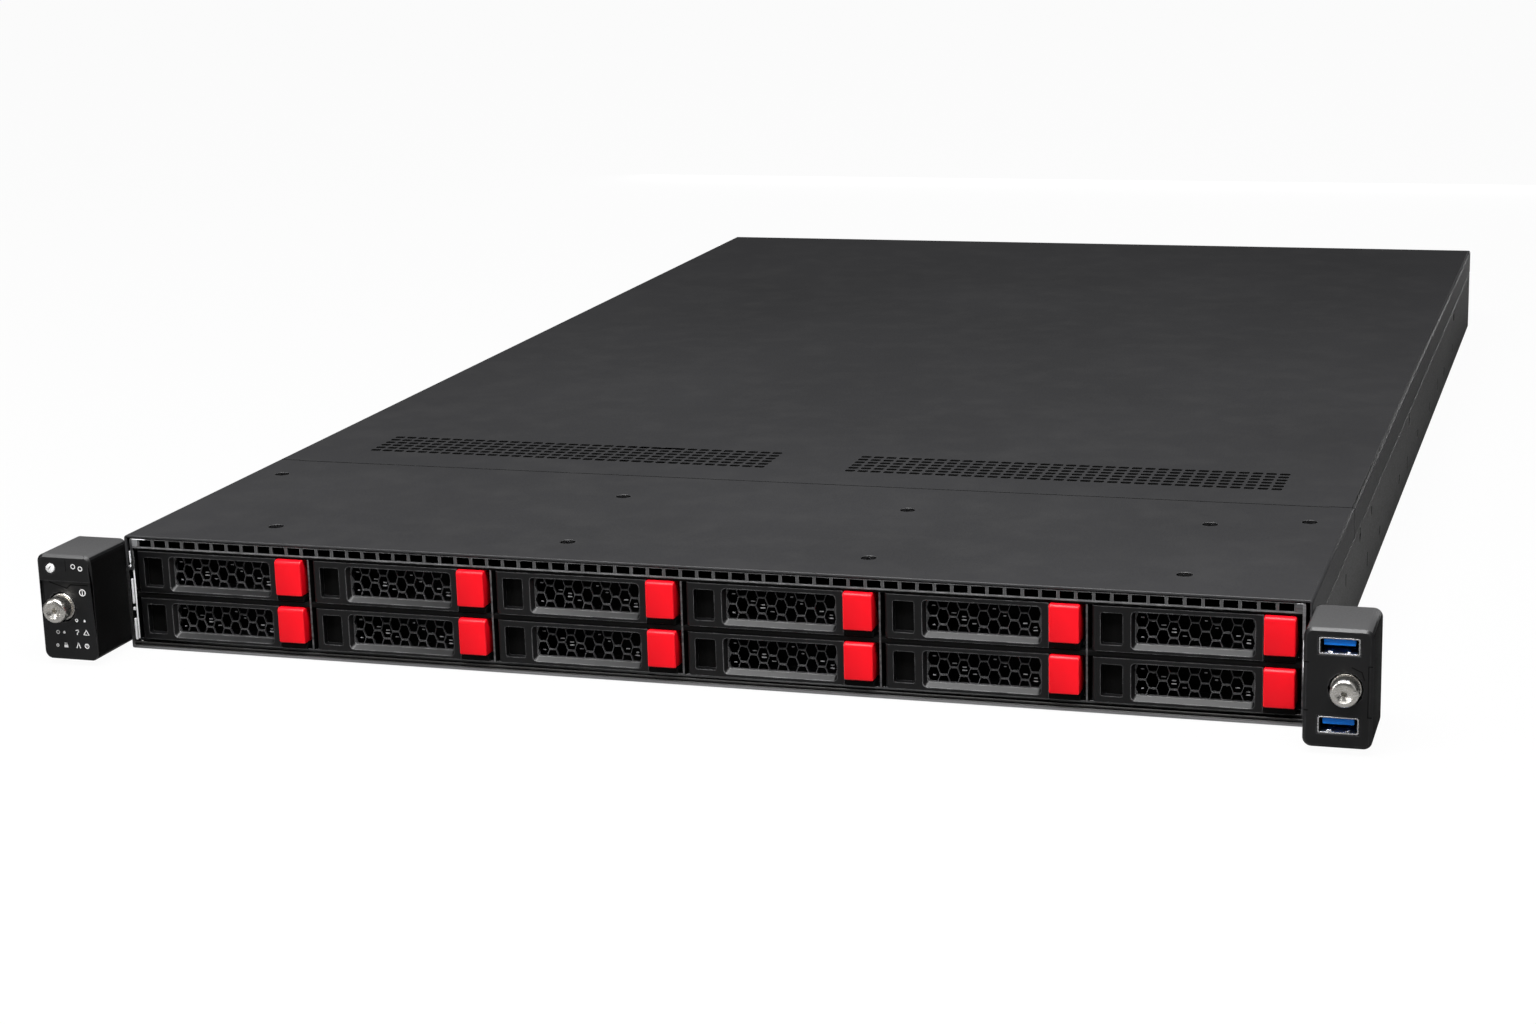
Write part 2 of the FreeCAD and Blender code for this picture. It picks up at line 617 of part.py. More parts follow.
def make_port(ear, index, height):
    """Steel shell and tongue of one socket, and the well in the ear that takes them."""
    centre = "half_width + port_out"
    half_w, half_h = "port_width / 2", "port_height / 2"
    well = rectangle("%s - %s - fit_gap / 2" % (centre, half_w),
                     "%s - %s - fit_gap / 2" % (height, half_h),
                     "%s + %s + fit_gap / 2" % (centre, half_w),
                     "%s + %s + fit_gap / 2" % (height, half_h))
    pocket(ear, "port_well_%d" % index, "XZ_Plane", [well], "ear_front - 1",
           "ear_front + port_depth")
    shell = new_body("port_shell_%d" % index)
    pad(shell, "shell_block_%d" % index, "XZ_Plane",
        [rectangle("%s - %s" % (centre, half_w), "%s - %s" % (height, half_h),
                   "%s + %s" % (centre, half_w), "%s + %s" % (height, half_h))],
        "ear_front", "ear_front + port_depth")
    pocket(shell, "shell_mouth_%d" % index, "XZ_Plane",
           [rectangle("%s - %s + port_wall" % (centre, half_w),
                      "%s - %s + port_wall" % (height, half_h),
                      "%s + %s - port_wall" % (centre, half_w),
                      "%s + %s - port_wall" % (height, half_h))],
           "ear_front - 1", "ear_front + port_depth - port_wall")
    tongue = block("tongue_%d" % index,
                   ("%s - tongue_width / 2" % centre, "%s + tongue_width / 2" % centre),
                   ("ear_front + tongue_setback", "ear_front + port_depth - port_wall"),
                   ("%s + tongue_lift - tongue_height / 2" % height,
                    "%s + tongue_lift + tongue_height / 2" % height))
    return [shell, tongue]


def make_thumbscrews():
    """Captive screw turned from bar: flange, knob with a hex socket, relieved neck and thread."""
    body = new_body("thumbscrew_body")
    base_front = "ear_front + screw_recess_depth - base_length"
    pad(body, "screw_flange", "XZ_Plane", [polygon(24, "base_radius")], base_front,
        "ear_front + screw_recess_depth")
    knob_front = base_front + " - knob_length"
    pad(body, "screw_knob", "XZ_Plane", [polygon(20, "knob_radius")], knob_front, base_front)
    pad(body, "screw_neck", "XZ_Plane", [disc("0", "0", "neck_radius")],
        "ear_front + screw_recess_depth", "thread_start")
    pad(body, "screw_thread", "XZ_Plane", [disc("0", "0", "shank_radius")], "thread_start",
        "shank_out")
    pocket(body, "screw_socket", "XZ_Plane", [polygon(6, "socket_radius")],
           knob_front + " - 1", knob_front + " + socket_depth")
    for side, sign in (("left", "0 - "), ("right", "")):
        node(copy_of(body, "at_screw_" + side, sign + "screw_x", "0", "screw_z"),
             "thumbscrew_" + side)


# Fans


def make_fans():
    frame = new_body("fan_frame_body")
    half = "fan_size / 2"
    pad(frame, "frame_block", "XZ_Plane",
        [rectangle("0 - " + half, "0 - " + half, half, half), polygon(20, "fan_bore")],
        "0", "fan_depth")
    pad(frame, "motor_seat", "XZ_Plane", [polygon(12, "hub_radius")],
        "fan_depth - stator_length", "fan_depth")
    pad(frame, "motor_ribs", "XZ_Plane",
        [rectangle("0 - fan_bore - 0.5", "0 - fan_rib / 2", "fan_bore + 0.5", "fan_rib / 2")],
        "fan_depth - fan_rib", "fan_depth")
    rotor = new_body("rotor_body")
    end = "fan_depth - stator_length - fit_gap"
    pad(rotor, "rotor_hub", "XZ_Plane", [polygon(10, "hub_radius")], end + " - rotor_length", end)
    blade = pad(rotor, "rotor_blade", "YZ_Plane",
                [[(end + " - rotor_length + blade", "0 - blade_sweep / 2 - blade"),
                  (end + " - rotor_length + 3 * blade", "0 - blade_sweep / 2 - blade"),
                  (end + " - blade", "blade_sweep / 2"),
                  (end + " - 3 * blade", "blade_sweep / 2")]],
                "hub_radius - 2 * blade", "fan_bore - 2 * fan_tip_gap")
    ring = rotor.newObject("PartDesign::PolarPattern", "rotor_blades")
    ring.Originals = [blade]
    ring.Axis = (rotor.getObject("rotor_hub").Profile[0], ["N_Axis"])
    ring.Angle = 360
    bind(ring, Occurrences="blades")
    rotor.Tip = ring
    frames = []
    for i in range(int(number("fans"))):
        spot = ("fan_x_first + %d * fan_pitch" % i, "fan_start", "fan_axis")
        frames.append(copy_of(frame, "fan_frame_%d" % (i + 1), *spot))
        node(copy_of(rotor, "at_rotor_%d" % (i + 1), *spot), "fan_rotor_%d" % (i + 1))
    node(group_of(frames, "frames"), "fan_frames")


# Mainboard


def make_mainboard():
    board = new_body("board_body")
    side = "half_width - sheet - board_side"
    back_edge = "back - sheet - board_back_gap"
    guide_left = "supply_left - supply_gap / 2 - guide - board_side"
    outline = [("0 - (%s)" % side, "board_front"), (side, "board_front"),
               (side, "supply_front - board_side"), (guide_left, "supply_front - board_side"),
               (guide_left, back_edge), ("0 - (%s)" % side, back_edge)]
    pad(board, "board_plate", "XY_Plane", [outline], "board_under", "board_top")
    posts = [polygon(6, "standoff / 2", x, y)
             for x in ("0 - (%s) + 2 * standoff" % side, guide_left + " - 2 * standoff")
             for y in ("board_front + 2 * standoff", back_edge + " - 8 * standoff")]
    pad(board, "board_posts", "XY_Plane", posts, "sheet", "board_under + board / 2")
    face = "back"
    display = connector("display", "display_start", "display_width", "display_height", face)
    stack = connector("stack", "stack_start", "stack_width", "stack_height", face)
    for i, lift in enumerate(("stack_height / 4", "3 * stack_height / 4"), start=1):
        pocket(stack, "stack_mouth_%d" % i, "XZ_Plane",
               [rectangle("stack_start + (stack_width - port_width) / 2 + port_wall",
                          "board_top + %s - port_height / 2 + port_wall" % lift,
                          "stack_start + (stack_width + port_width) / 2 - port_wall",
                          "board_top + %s + port_height / 2 - port_wall" % lift)],
               face + " - port_depth", face + " + 1")
    node(group_of([board, display, stack] + jack_walls(), "mainboard"), "motherboard")


def jack_walls():
    """Row of jacks: a block behind, a floor, a roof and an upright at each side of every mouth."""
    across = ("jack_start", "jack_start + jack_count * jack_pitch")
    mouth_end = "back - jack_depth + 3 * jack_wall"
    low, high = "board_top + jack_wall", "board_top + jack_wall + jack_mouth"
    top = "board_top + jack_height"
    walls = [block("jack_rear", across, ("back - jack_depth", mouth_end), ("board_top", top)),
             block("jack_floor", across, (mouth_end, "back"), ("board_top", low)),
             block("jack_roof", across, (mouth_end, "back"), (high, top))]
    count = int(number("jack_count"))
    for i in range(count + 1):
        middle = "jack_start + %d * jack_pitch" % i
        left = middle + " - jack_wall" if i > 0 else middle
        right = middle + " + jack_wall" if i < count else middle
        walls.append(block("jack_upright_%d" % (i + 1), (left, right), (mouth_end, "back"),
                           (low, high)))
    return walls


def connector(name, start, width, height, face):
    """A port block that stands on the board with its mouth at the rear wall."""
    body = new_body(name + "_body")
    pad(body, name + "_block", "XZ_Plane",
        [rectangle(start, "board_top", "%s + %s" % (start, width), "board_top + " + height)],
        face + " - jack_depth", face)
    return body


def make_heat_sinks():
    """Base plate and upright fins cut as one comb profile, over each processor."""
    base = "board_top + processor_height"
    step = "(sink_width - fin) / (sink_fins - 1)"
    outline = [("0 - sink_width / 2", base), ("sink_width / 2", base)]
    count = int(number("sink_fins"))
    for i in range(count):
        right = "sink_width / 2 - %d * %s" % (i, step)
        outline += [(right, base + " + sink_height"), (right + " - fin", base + " + sink_height")]
        if i < count - 1:
            outline += [(right + " - fin", base + " + sink_base"),
                        (right + " - " + step, base + " + sink_base")]
    body = new_body("sink_body")
    pad(body, "sink_comb", "XZ_Plane", [outline], "sink_middle - sink_length / 2",
        "sink_middle + sink_length / 2")
    sinks = []
    for name, sign in (("left", "0 - "), ("right", "")):
        sinks.append(copy_of(body, "sink_" + name, sign + "sink_centre"))
        sinks.append(block("processor_" + name,
                           (sign + "sink_centre - sink_width / 3",
                            sign + "sink_centre + sink_width / 3"),
                           ("sink_middle - sink_length / 4", "sink_middle + sink_length / 4"),
                           ("board_top", base)))
    node(group_of(sinks, "sinks"), "heat_sinks")


def make_memory():
    """Memory modules upright in their sockets, in banks at both sides of each heat sink."""
    pieces = []
    middle = "sink_middle"
    offset = "(sink_width / 2 + bank_gap)"
    for bank, (sign, inner) in enumerate((("0 - ", False), ("0 - ", True), ("", True), ("", False))):
        outward = "-" if (sign == "0 - ") != inner else "+"
        for i in range(int(number("bank_modules"))):
            centre = "%ssink_centre %s (%s + %d * module_pitch)" % (sign, outward, offset, i)
            name = "%d_%d" % (bank + 1, i + 1)
            pieces.append(block("module_socket_" + name,
                                (centre + " - module_socket_width / 2",
                                 centre + " + module_socket_width / 2"),
                                (middle + " - module_length / 2 - module_socket_width",
                                 middle + " + module_length / 2 + module_socket_width"),
                                ("board_top", "board_top + module_socket_height")))
            pieces.append(block("module_" + name,
                                (centre + " - module_width / 2", centre + " + module_width / 2"),
                                (middle + " - module_length / 2", middle + " + module_length / 2"),
                                ("board_top + module_socket_height",
                                 "board_top + module_socket_height + module_height")))
    node(group_of(pieces, "memory"), "memory_modules")


# Power supplies


def make_power_supplies():
    """Plug-in supply with an inlet, an exhaust and a fixed loop handle at its back."""
    body = new_body("supply_body")
    top = "sheet + supply_height"
    pad(body, "supply_case", "XZ_Plane",
        [rectangle("0", "sheet", "supply_width", top)], "supply_front", "supply_back")
    middle = "sheet + supply_height / 2"
    pocket(body, "supply_inlet", "XZ_Plane",
           [rectangle("inlet_in - inlet_width / 2", middle + " - inlet_height / 2",
                      "inlet_in + inlet_width / 2", middle + " + inlet_height / 2")],
           "supply_back - inlet_depth", "supply_back + 1")
    pocket(body, "supply_exhaust", "XZ_Plane",
           [rectangle("supply_width - exhaust_in - exhaust_side / 2", middle + " - exhaust_side / 2",
                      "supply_width - exhaust_in + exhaust_side / 2",
                      middle + " + exhaust_side / 2")],
           "supply_back - exhaust_depth", "supply_back + 1")
    handle = new_body("handle_body")
    left = "(supply_width - exhaust_in - handle_width / 2)"
    end = "supply_back + handle_reach"
    pad(handle, "handle_loop", "XY_Plane",
        [[(left + " - handle_strap", "supply_back"), (left, "supply_back"),
          (left, end + " - handle_strap"), (left + " + handle_width", end + " - handle_strap"),
          (left + " + handle_width", "supply_back"),
          (left + " + handle_width + handle_strap", "supply_back"),
          (left + " + handle_width + handle_strap", end), (left + " - handle_strap", end)]],
        middle + " - handle_height / 2", middle + " + handle_height / 2")
    supply = group_of([body, handle], "supply_master")
    node(copy_of(supply, "at_supply_left", "supply_left"), "power_supply_left")
    node(copy_of(supply, "at_supply_right", "supply_right - supply_width"), "power_supply_right")


def check_and_write():
    """Stop on any failed feature or faulty solid, then write one file for each node."""
    doc.recompute()
    failed = [o.Name for o in doc.Objects if "Invalid" in o.State or "Error" in o.State]
    if failed:
        raise RuntimeError("failed features: " + ", ".join(failed))
    for thing in nodes:
        if thing.Shape.isNull() or not thing.Shape.isValid():
            raise RuntimeError("bad shape: " + thing.Label)
    os.makedirs("parts", exist_ok=True)
    for thing in nodes:
        thing.Shape.exportStep("parts/%s.step" % thing.Label)
    print(len(nodes), "nodes written")


make_chassis()
make_covers()
make_cage()
make_backplane()
make_bays()
make_ears()
make_thumbscrews()
make_fans()
make_mainboard()
make_heat_sinks()
make_memory()
make_power_supplies()
check_and_write()
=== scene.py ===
# %% [markdown]
# A one-unit rack server, dressed for its portrait
#
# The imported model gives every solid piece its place, and this file gives each of them its look.
# The frame is read first, because every piece below is measured from it and rides on one of its
# bodies.

# %% Read the frame
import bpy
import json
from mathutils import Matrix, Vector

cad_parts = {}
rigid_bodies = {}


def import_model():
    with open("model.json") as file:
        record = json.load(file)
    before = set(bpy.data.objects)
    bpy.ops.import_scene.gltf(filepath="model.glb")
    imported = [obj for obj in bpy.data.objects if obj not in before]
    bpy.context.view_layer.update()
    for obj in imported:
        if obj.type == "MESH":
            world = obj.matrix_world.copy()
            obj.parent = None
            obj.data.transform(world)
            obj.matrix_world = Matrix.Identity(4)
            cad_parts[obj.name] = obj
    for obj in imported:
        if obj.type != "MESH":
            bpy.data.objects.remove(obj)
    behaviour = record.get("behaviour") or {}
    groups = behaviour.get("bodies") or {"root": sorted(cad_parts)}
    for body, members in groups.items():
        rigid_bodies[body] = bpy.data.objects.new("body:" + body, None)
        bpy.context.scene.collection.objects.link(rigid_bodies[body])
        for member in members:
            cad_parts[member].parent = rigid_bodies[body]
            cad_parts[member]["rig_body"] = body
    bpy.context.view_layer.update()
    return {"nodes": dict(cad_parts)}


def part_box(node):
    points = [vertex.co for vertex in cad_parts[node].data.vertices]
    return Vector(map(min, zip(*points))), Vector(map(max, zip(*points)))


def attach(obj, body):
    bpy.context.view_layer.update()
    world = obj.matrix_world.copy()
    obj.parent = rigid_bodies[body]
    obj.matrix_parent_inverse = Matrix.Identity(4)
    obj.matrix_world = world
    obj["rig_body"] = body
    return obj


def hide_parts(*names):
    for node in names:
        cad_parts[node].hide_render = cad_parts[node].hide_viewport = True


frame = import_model()

# %% [markdown]
# The real object is drawn in millimetres and Blender works in metres, so one number turns one into
# the other. Boxes of single nodes come back in millimetres too, which keeps every size below easy
# to read.

# %% Millimetres
import json
import math
import bmesh
import bpy
from mathutils import Matrix, Vector

MM = 0.001


def box_mm(node):
    """Lowest and highest corner of a node in millimetres."""
    low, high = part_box(node)
    return low / MM, high / MM


BAYS = ["%02d" % (i + 1) for i in range(12)]
lid_low, lid_high = box_mm("front_cover")
print("lid top at", round(lid_high.z, 2), "mm")

# %% [markdown]
# The camera stands low, in front of the server and a little to the right, and looks across its
# top. Its place, lens and turn were found by fitting the corners of the case in the photograph,
# so the drawn front, the ears and the far edge of the lid fall where the photograph has them.

# %% Camera
camera_data = bpy.data.cameras.new("portrait_camera")
camera_data.sensor_width = 36.0
camera_data.lens = 66.662
camera = bpy.data.objects.new("portrait_camera", camera_data)
bpy.context.scene.collection.objects.link(camera)
turn = (Matrix.Rotation(math.radians(17.718), 4, "Z")
        @ Matrix.Rotation(math.radians(-14.016), 4, "X")
        @ Matrix.Rotation(math.radians(1.642), 4, "Y"))
camera.matrix_world = (Matrix.Translation((0.3220, -0.9067, 0.3016)) @ turn
                       @ Matrix.Rotation(math.radians(90), 4, "X"))
camera_data.clip_start, camera_data.clip_end = 0.05, 30
bpy.context.scene.camera = camera
print("camera at", [round(v, 3) for v in camera.location])

# %% [markdown]
# The photograph is a cut-out on white with a very faint shadow. A white world would light the
# object from all sides at once, so the world is white only for the camera. For light it is a dim
# dome, brighter overhead. The floor is a pale sheet that shows white to the camera but keeps part
# of the object's shadow.

# %% World and floor
FLOOR_GREY = 0.2         # how much of the lamps' light the floor throws back
FLOOR_GLOW = 1.09        # white that the camera sees on it
FLOOR_GLOW_SHARE = 0.88  # the rest shows the shadow


def add_node(nodes, kind, **values):
    """A new node; each value sets the input of that name."""
    node = nodes.new("ShaderNode" + kind)
    for label, value in values.items():
        node.inputs[label.replace("_", " ")].default_value = value
    return node


def feed(links, value, socket):
    """Link an input to another socket, or set it to a number or a colour."""
    if isinstance(value, bpy.types.NodeSocket):
        links.new(value, socket)
    else:
        socket.default_value = value


def times(nodes, links, first, second):
    """Multiply a value by another one or by a number."""
    node = nodes.new("ShaderNodeMath")
    node.operation = "MULTIPLY"
    feed(links, first, node.inputs[0])
    feed(links, second, node.inputs[1])
    return node.outputs[0]


def new_material(name):
    """A material with its node tree emptied, and an output ready to be linked."""
    material = bpy.data.materials.new(name)
    material.use_nodes = True
    nodes, links = material.node_tree.nodes, material.node_tree.links
    nodes.clear()
    return material, nodes, links, nodes.new("ShaderNodeOutputMaterial")


world = bpy.data.worlds.new("studio")
bpy.context.scene.world = world
world.use_nodes = True
wn, wl = world.node_tree.nodes, world.node_tree.links
wn.clear()
direction, height = add_node(wn, "TexCoord"), add_node(wn, "SeparateXYZ")
rise = add_node(wn, "MapRange", From_Min=0.35, From_Max=0.95, To_Min=0.02, To_Max=0.35)
plain = add_node(wn, "Background")
seen = add_node(wn, "Background", Color=(1, 1, 1, 1), Strength=1.0)
path, mix, world_out = [add_node(wn, kind) for kind in ("LightPath", "MixShader", "OutputWorld")]
wl.new(direction.outputs["Generated"], height.inputs[0])
wl.new(height.outputs["Z"], rise.inputs["Value"])
wl.new(rise.outputs["Result"], plain.inputs["Strength"])
wl.new(path.outputs["Is Camera Ray"], mix.inputs["Fac"])
wl.new(plain.outputs[0], mix.inputs[1])
wl.new(seen.outputs[0], mix.inputs[2])
wl.new(mix.outputs[0], world_out.inputs["Surface"])

floor_material, fn, fl, floor_out = new_material("studio_floor")
pale = add_node(fn, "BsdfDiffuse", Color=(FLOOR_GREY, FLOOR_GREY, FLOOR_GREY, 1))
white = add_node(fn, "Emission", Strength=FLOOR_GLOW)
light_path, floor_mix = add_node(fn, "LightPath"), add_node(fn, "MixShader")
glow_share = times(fn, fl, light_path.outputs["Is Camera Ray"], FLOOR_GLOW_SHARE)
fl.new(glow_share, floor_mix.inputs["Fac"])
fl.new(pale.outputs[0], floor_mix.inputs[1])
fl.new(white.outputs[0], floor_mix.inputs[2])
fl.new(floor_mix.outputs[0], floor_out.inputs["Surface"])
floor_mesh = bpy.data.meshes.new("floor")
floor_mesh.from_pydata([(-8, -8, -0.0005), (8, -8, -0.0005), (8, 8, -0.0005), (-8, 8, -0.0005)],
                       [], [(0, 1, 2, 3)])
floor = bpy.data.objects.new("floor", floor_mesh)
floor_mesh.materials.append(floor_material)
bpy.context.scene.collection.objects.link(floor)
bpy.context.scene.view_settings.view_transform = "Standard"
print("floor glow:", FLOOR_GLOW)

# %% [markdown]
# Product photographs of black metal use large soft lamps, because a small lamp would burn a spot
# into the coat. One broad lamp hangs over the front, a stronger fill stands at the left and a weak
# one at the right. A large lamp high behind draws the thin bright lines along the edges, and a
# flat one behind the server, lower than its lid, lights the back without a sheen on the top.

# %% Lamps


def add_lamp(name, place, target, size, watts):
    """A soft oblong lamp that looks at a target."""
    lamp = bpy.data.lights.new(name, "AREA")
    lamp.shape = "RECTANGLE"
    lamp.size, lamp.size_y = size
    lamp.energy = watts
    thing = bpy.data.objects.new(name, lamp)
    bpy.context.scene.collection.objects.link(thing)
    thing.location = place
    thing.rotation_euler = (Vector(target) - Vector(place)).to_track_quat("-Z", "Y").to_euler()


add_lamp("lamp_over_front", (0.05, -0.45, 1.15), (0.03, 0.05, 0), (1.2, 0.5), 31)
add_lamp("lamp_left_fill", (-1.7, -1.5, 0.8), (0, 0, 0.02), (0.5, 0.9), 11)
add_lamp("lamp_right_fill", (1.9, -1.2, 0.8), (0.1, 0.2, 0.02), (0.5, 0.9), 1.5)
add_lamp("lamp_low_rear", (0.0, 1.35, 0.022), (0, 0.74, 0.022), (1.0, 0.035), 1.3)
add_lamp("lamp_behind", (0.2, 1.9, 2.3), (0, 0.5, 0.04), (2.0, 0.5), 2)

# %% [markdown]
# The finishes share a few effects: the fine grain of a powder coat or a moulded face, the paler
# line along an edge, partly where a hand or a tool has rubbed it and partly a painted highlight,
# the run of brushing on bare metal, and a little dust on what faces up. Each effect is a node
# group that gives out a mask or a height, and each material mixes it in at its own strength.

# %% Effect groups
def new_group(name, numbers, outputs):
    """A node group whose inputs are numbers and whose outputs are values."""
    group = bpy.data.node_groups.new(name, "ShaderNodeTree")
    for label, value in numbers:
        socket = group.interface.new_socket(label, in_out="INPUT", socket_type="NodeSocketFloat")
        socket.default_value = value
    for label in outputs:
        group.interface.new_socket(label, in_out="OUTPUT", socket_type="NodeSocketFloat")
    return (group, group.nodes, group.links, group.nodes.new("NodeGroupInput"),
            group.nodes.new("NodeGroupOutput"))


def noise(nodes, links, scale, detail=2.0, stretch=(1, 1, 1)):
    """Noise over the object's own coordinates; its scale is a socket or a number."""
    place = nodes.new("ShaderNodeTexCoord")
    mapping = add_node(nodes, "Mapping", Scale=stretch)
    texture = add_node(nodes, "TexNoise", Detail=detail)
    links.new(place.outputs["Object"], mapping.inputs["Vector"])
    links.new(mapping.outputs[0], texture.inputs["Vector"])
    feed(links, scale, texture.inputs["Scale"])
    return texture.outputs[0]


def spread(nodes, links, value, low, high, to_low=0.0, to_high=1.0):
    """Map one stretch of a value onto another, clamped."""
    ramp = add_node(nodes, "MapRange", From_Min=low, From_Max=high, To_Min=to_low, To_Max=to_high)
    links.new(value, ramp.inputs["Value"])
    return ramp.outputs["Result"]


grain, gn, gl, gi, go = new_group("fine_grain", [("Scale", 1800.0)], ["Height", "Tone"])
gl.new(noise(gn, gl, gi.outputs["Scale"], 3.0), go.inputs["Height"])
gl.new(spread(gn, gl, noise(gn, gl, 9.0, 4.0), 0.3, 0.7), go.inputs["Tone"])

# The edge mask pales every edge: partly wear, partly a painted highlight.
wear_highlight_group, en, el, ei, eo = new_group("edge_wear_and_highlight", [("Radius", 0.0006), ("Patches", 260.0)], ["Mask"])
round_normal = en.new("ShaderNodeBevel")
round_normal.samples = 4
geometry = en.new("ShaderNodeNewGeometry")
agree = en.new("ShaderNodeVectorMath")
agree.operation = "DOT_PRODUCT"
el.new(ei.outputs["Radius"], round_normal.inputs["Radius"])
el.new(round_normal.outputs[0], agree.inputs[0])
el.new(geometry.outputs["Normal"], agree.inputs[1])
bend = spread(en, el, agree.outputs["Value"], 0.985, 0.90)
patchiness = spread(en, el, noise(en, el, ei.outputs["Patches"]), 0.38, 0.62, 0.35, 1.0)
el.new(times(en, el, bend, patchiness), eo.inputs["Mask"])

brush, bn, bl, bi, bo = new_group("brushed_run", [("Scale", 900.0)], ["Height", "Streak"])
run = noise(bn, bl, bi.outputs["Scale"], 3.0, (0.03, 1, 1))
bl.new(run, bo.inputs["Height"])
bl.new(spread(bn, bl, run, 0.35, 0.65), bo.inputs["Streak"])

dust, dn, dl, di, do = new_group("settled_dust", [("Scale", 60.0)], ["Mask"])
facing, split = dn.new("ShaderNodeNewGeometry"), dn.new("ShaderNodeSeparateXYZ")
dl.new(facing.outputs["Normal"], split.inputs[0])
upward = spread(dn, dl, split.outputs["Z"], 0.4, 1.0)
thick = spread(dn, dl, noise(dn, dl, di.outputs["Scale"], 6.0), 0.45, 0.8)
dl.new(times(dn, dl, upward, thick), do.inputs["Mask"])
print("groups:", [g.name for g in bpy.data.node_groups])

# %% [markdown]
# Every finish here is one of two kinds. A coat or moulded plastic has a dark body colour, fine
# grain and paler edges, partly rubbed and partly a painted highlight. Bare metal is bright and
# takes its look from the run of the brushing. Two functions build those kinds, and each finish
# of the server is one call with its own colours and sizes.

# %% Finishes


def use_group(nodes, group, **numbers):
    """A node that runs one of the effect groups."""
    node = nodes.new("ShaderNodeGroup")
    node.node_tree = group
    for label, value in numbers.items():
        node.inputs[label].default_value = value
    return node


def blend_colour(nodes, links, mask, first, second, strength=1.0):
    """Mix two colours by a mask; either may be a socket or a plain colour."""
    node = nodes.new("ShaderNodeMix")
    node.data_type = "RGBA"
    feed(links, mask if strength == 1.0 else times(nodes, links, mask, strength),
         node.inputs["Factor"])
    for index, colour in ((6, first), (7, second)):
        feed(links, (*colour, 1) if isinstance(colour, tuple) else colour, node.inputs[index])
    return node.outputs[2]


def new_shader(name):
    """A material with one principled shader on its surface."""
    material, nodes, links, output = new_material(name)
    shader = nodes.new("ShaderNodeBsdfPrincipled")
    links.new(shader.outputs[0], output.inputs["Surface"])
    return material, nodes, links, shader


def add_bump(nodes, links, height, distance, shader, strength=0.5):
    """Raise the surface a little where the height is large."""
    bump = add_node(nodes, "Bump", Strength=strength, Distance=distance)
    links.new(height, bump.inputs["Height"])
    links.new(bump.outputs[0], shader.inputs["Normal"])


DUST = (0.32, 0.31, 0.29)


def coated(name, colour, worn_and_lit, roughness, grain_scale=1800.0, depth=0.00004, edge=0.0005,
           wear_and_highlight_share=0.6, dust_share=0.0, gloss=0.5):
    """A coat or moulded plastic: grain, a slow drift of tone, edges paled by wear and by a painted
    highlight, and a little dust.
    """
    material, nodes, links, shader = new_shader(name)
    shader.inputs["Specular IOR Level"].default_value = gloss
    texture = use_group(nodes, grain, Scale=grain_scale)
    paler = tuple(min(1.0, c * 1.18 + 0.001) for c in colour)
    body = blend_colour(nodes, links, texture.outputs["Tone"], colour, paler)
    edges = use_group(nodes, wear_highlight_group, Radius=edge)
    body = blend_colour(nodes, links, edges.outputs["Mask"], body, worn_and_lit, wear_and_highlight_share)
    if dust_share:
        film = use_group(nodes, dust)
        body = blend_colour(nodes, links, film.outputs["Mask"], body, DUST, dust_share)
    links.new(body, shader.inputs["Base Color"])
    links.new(spread(nodes, links, texture.outputs["Height"], 0.3, 0.7, roughness - 0.05,
                     roughness + 0.07), shader.inputs["Roughness"])
    add_bump(nodes, links, texture.outputs["Height"], depth, shader)
    return material


def bare_metal(name, colour, dark, roughness, run_scale=900.0, depth=0.00001, metallic=1.0):
    """Plated or brushed metal: streaks of tone and of gloss along the sheet."""
    material, nodes, links, shader = new_shader(name)
    shader.inputs["Metallic"].default_value = metallic
    streaks = use_group(nodes, brush, Scale=run_scale)
    links.new(blend_colour(nodes, links, streaks.outputs["Streak"], dark, colour),
              shader.inputs["Base Color"])
    links.new(spread(nodes, links, streaks.outputs["Streak"], 0.0, 1.0, roughness + 0.06,
                     roughness - 0.04), shader.inputs["Roughness"])
    add_bump(nodes, links, streaks.outputs["Height"], depth, shader, 0.3)
    return material


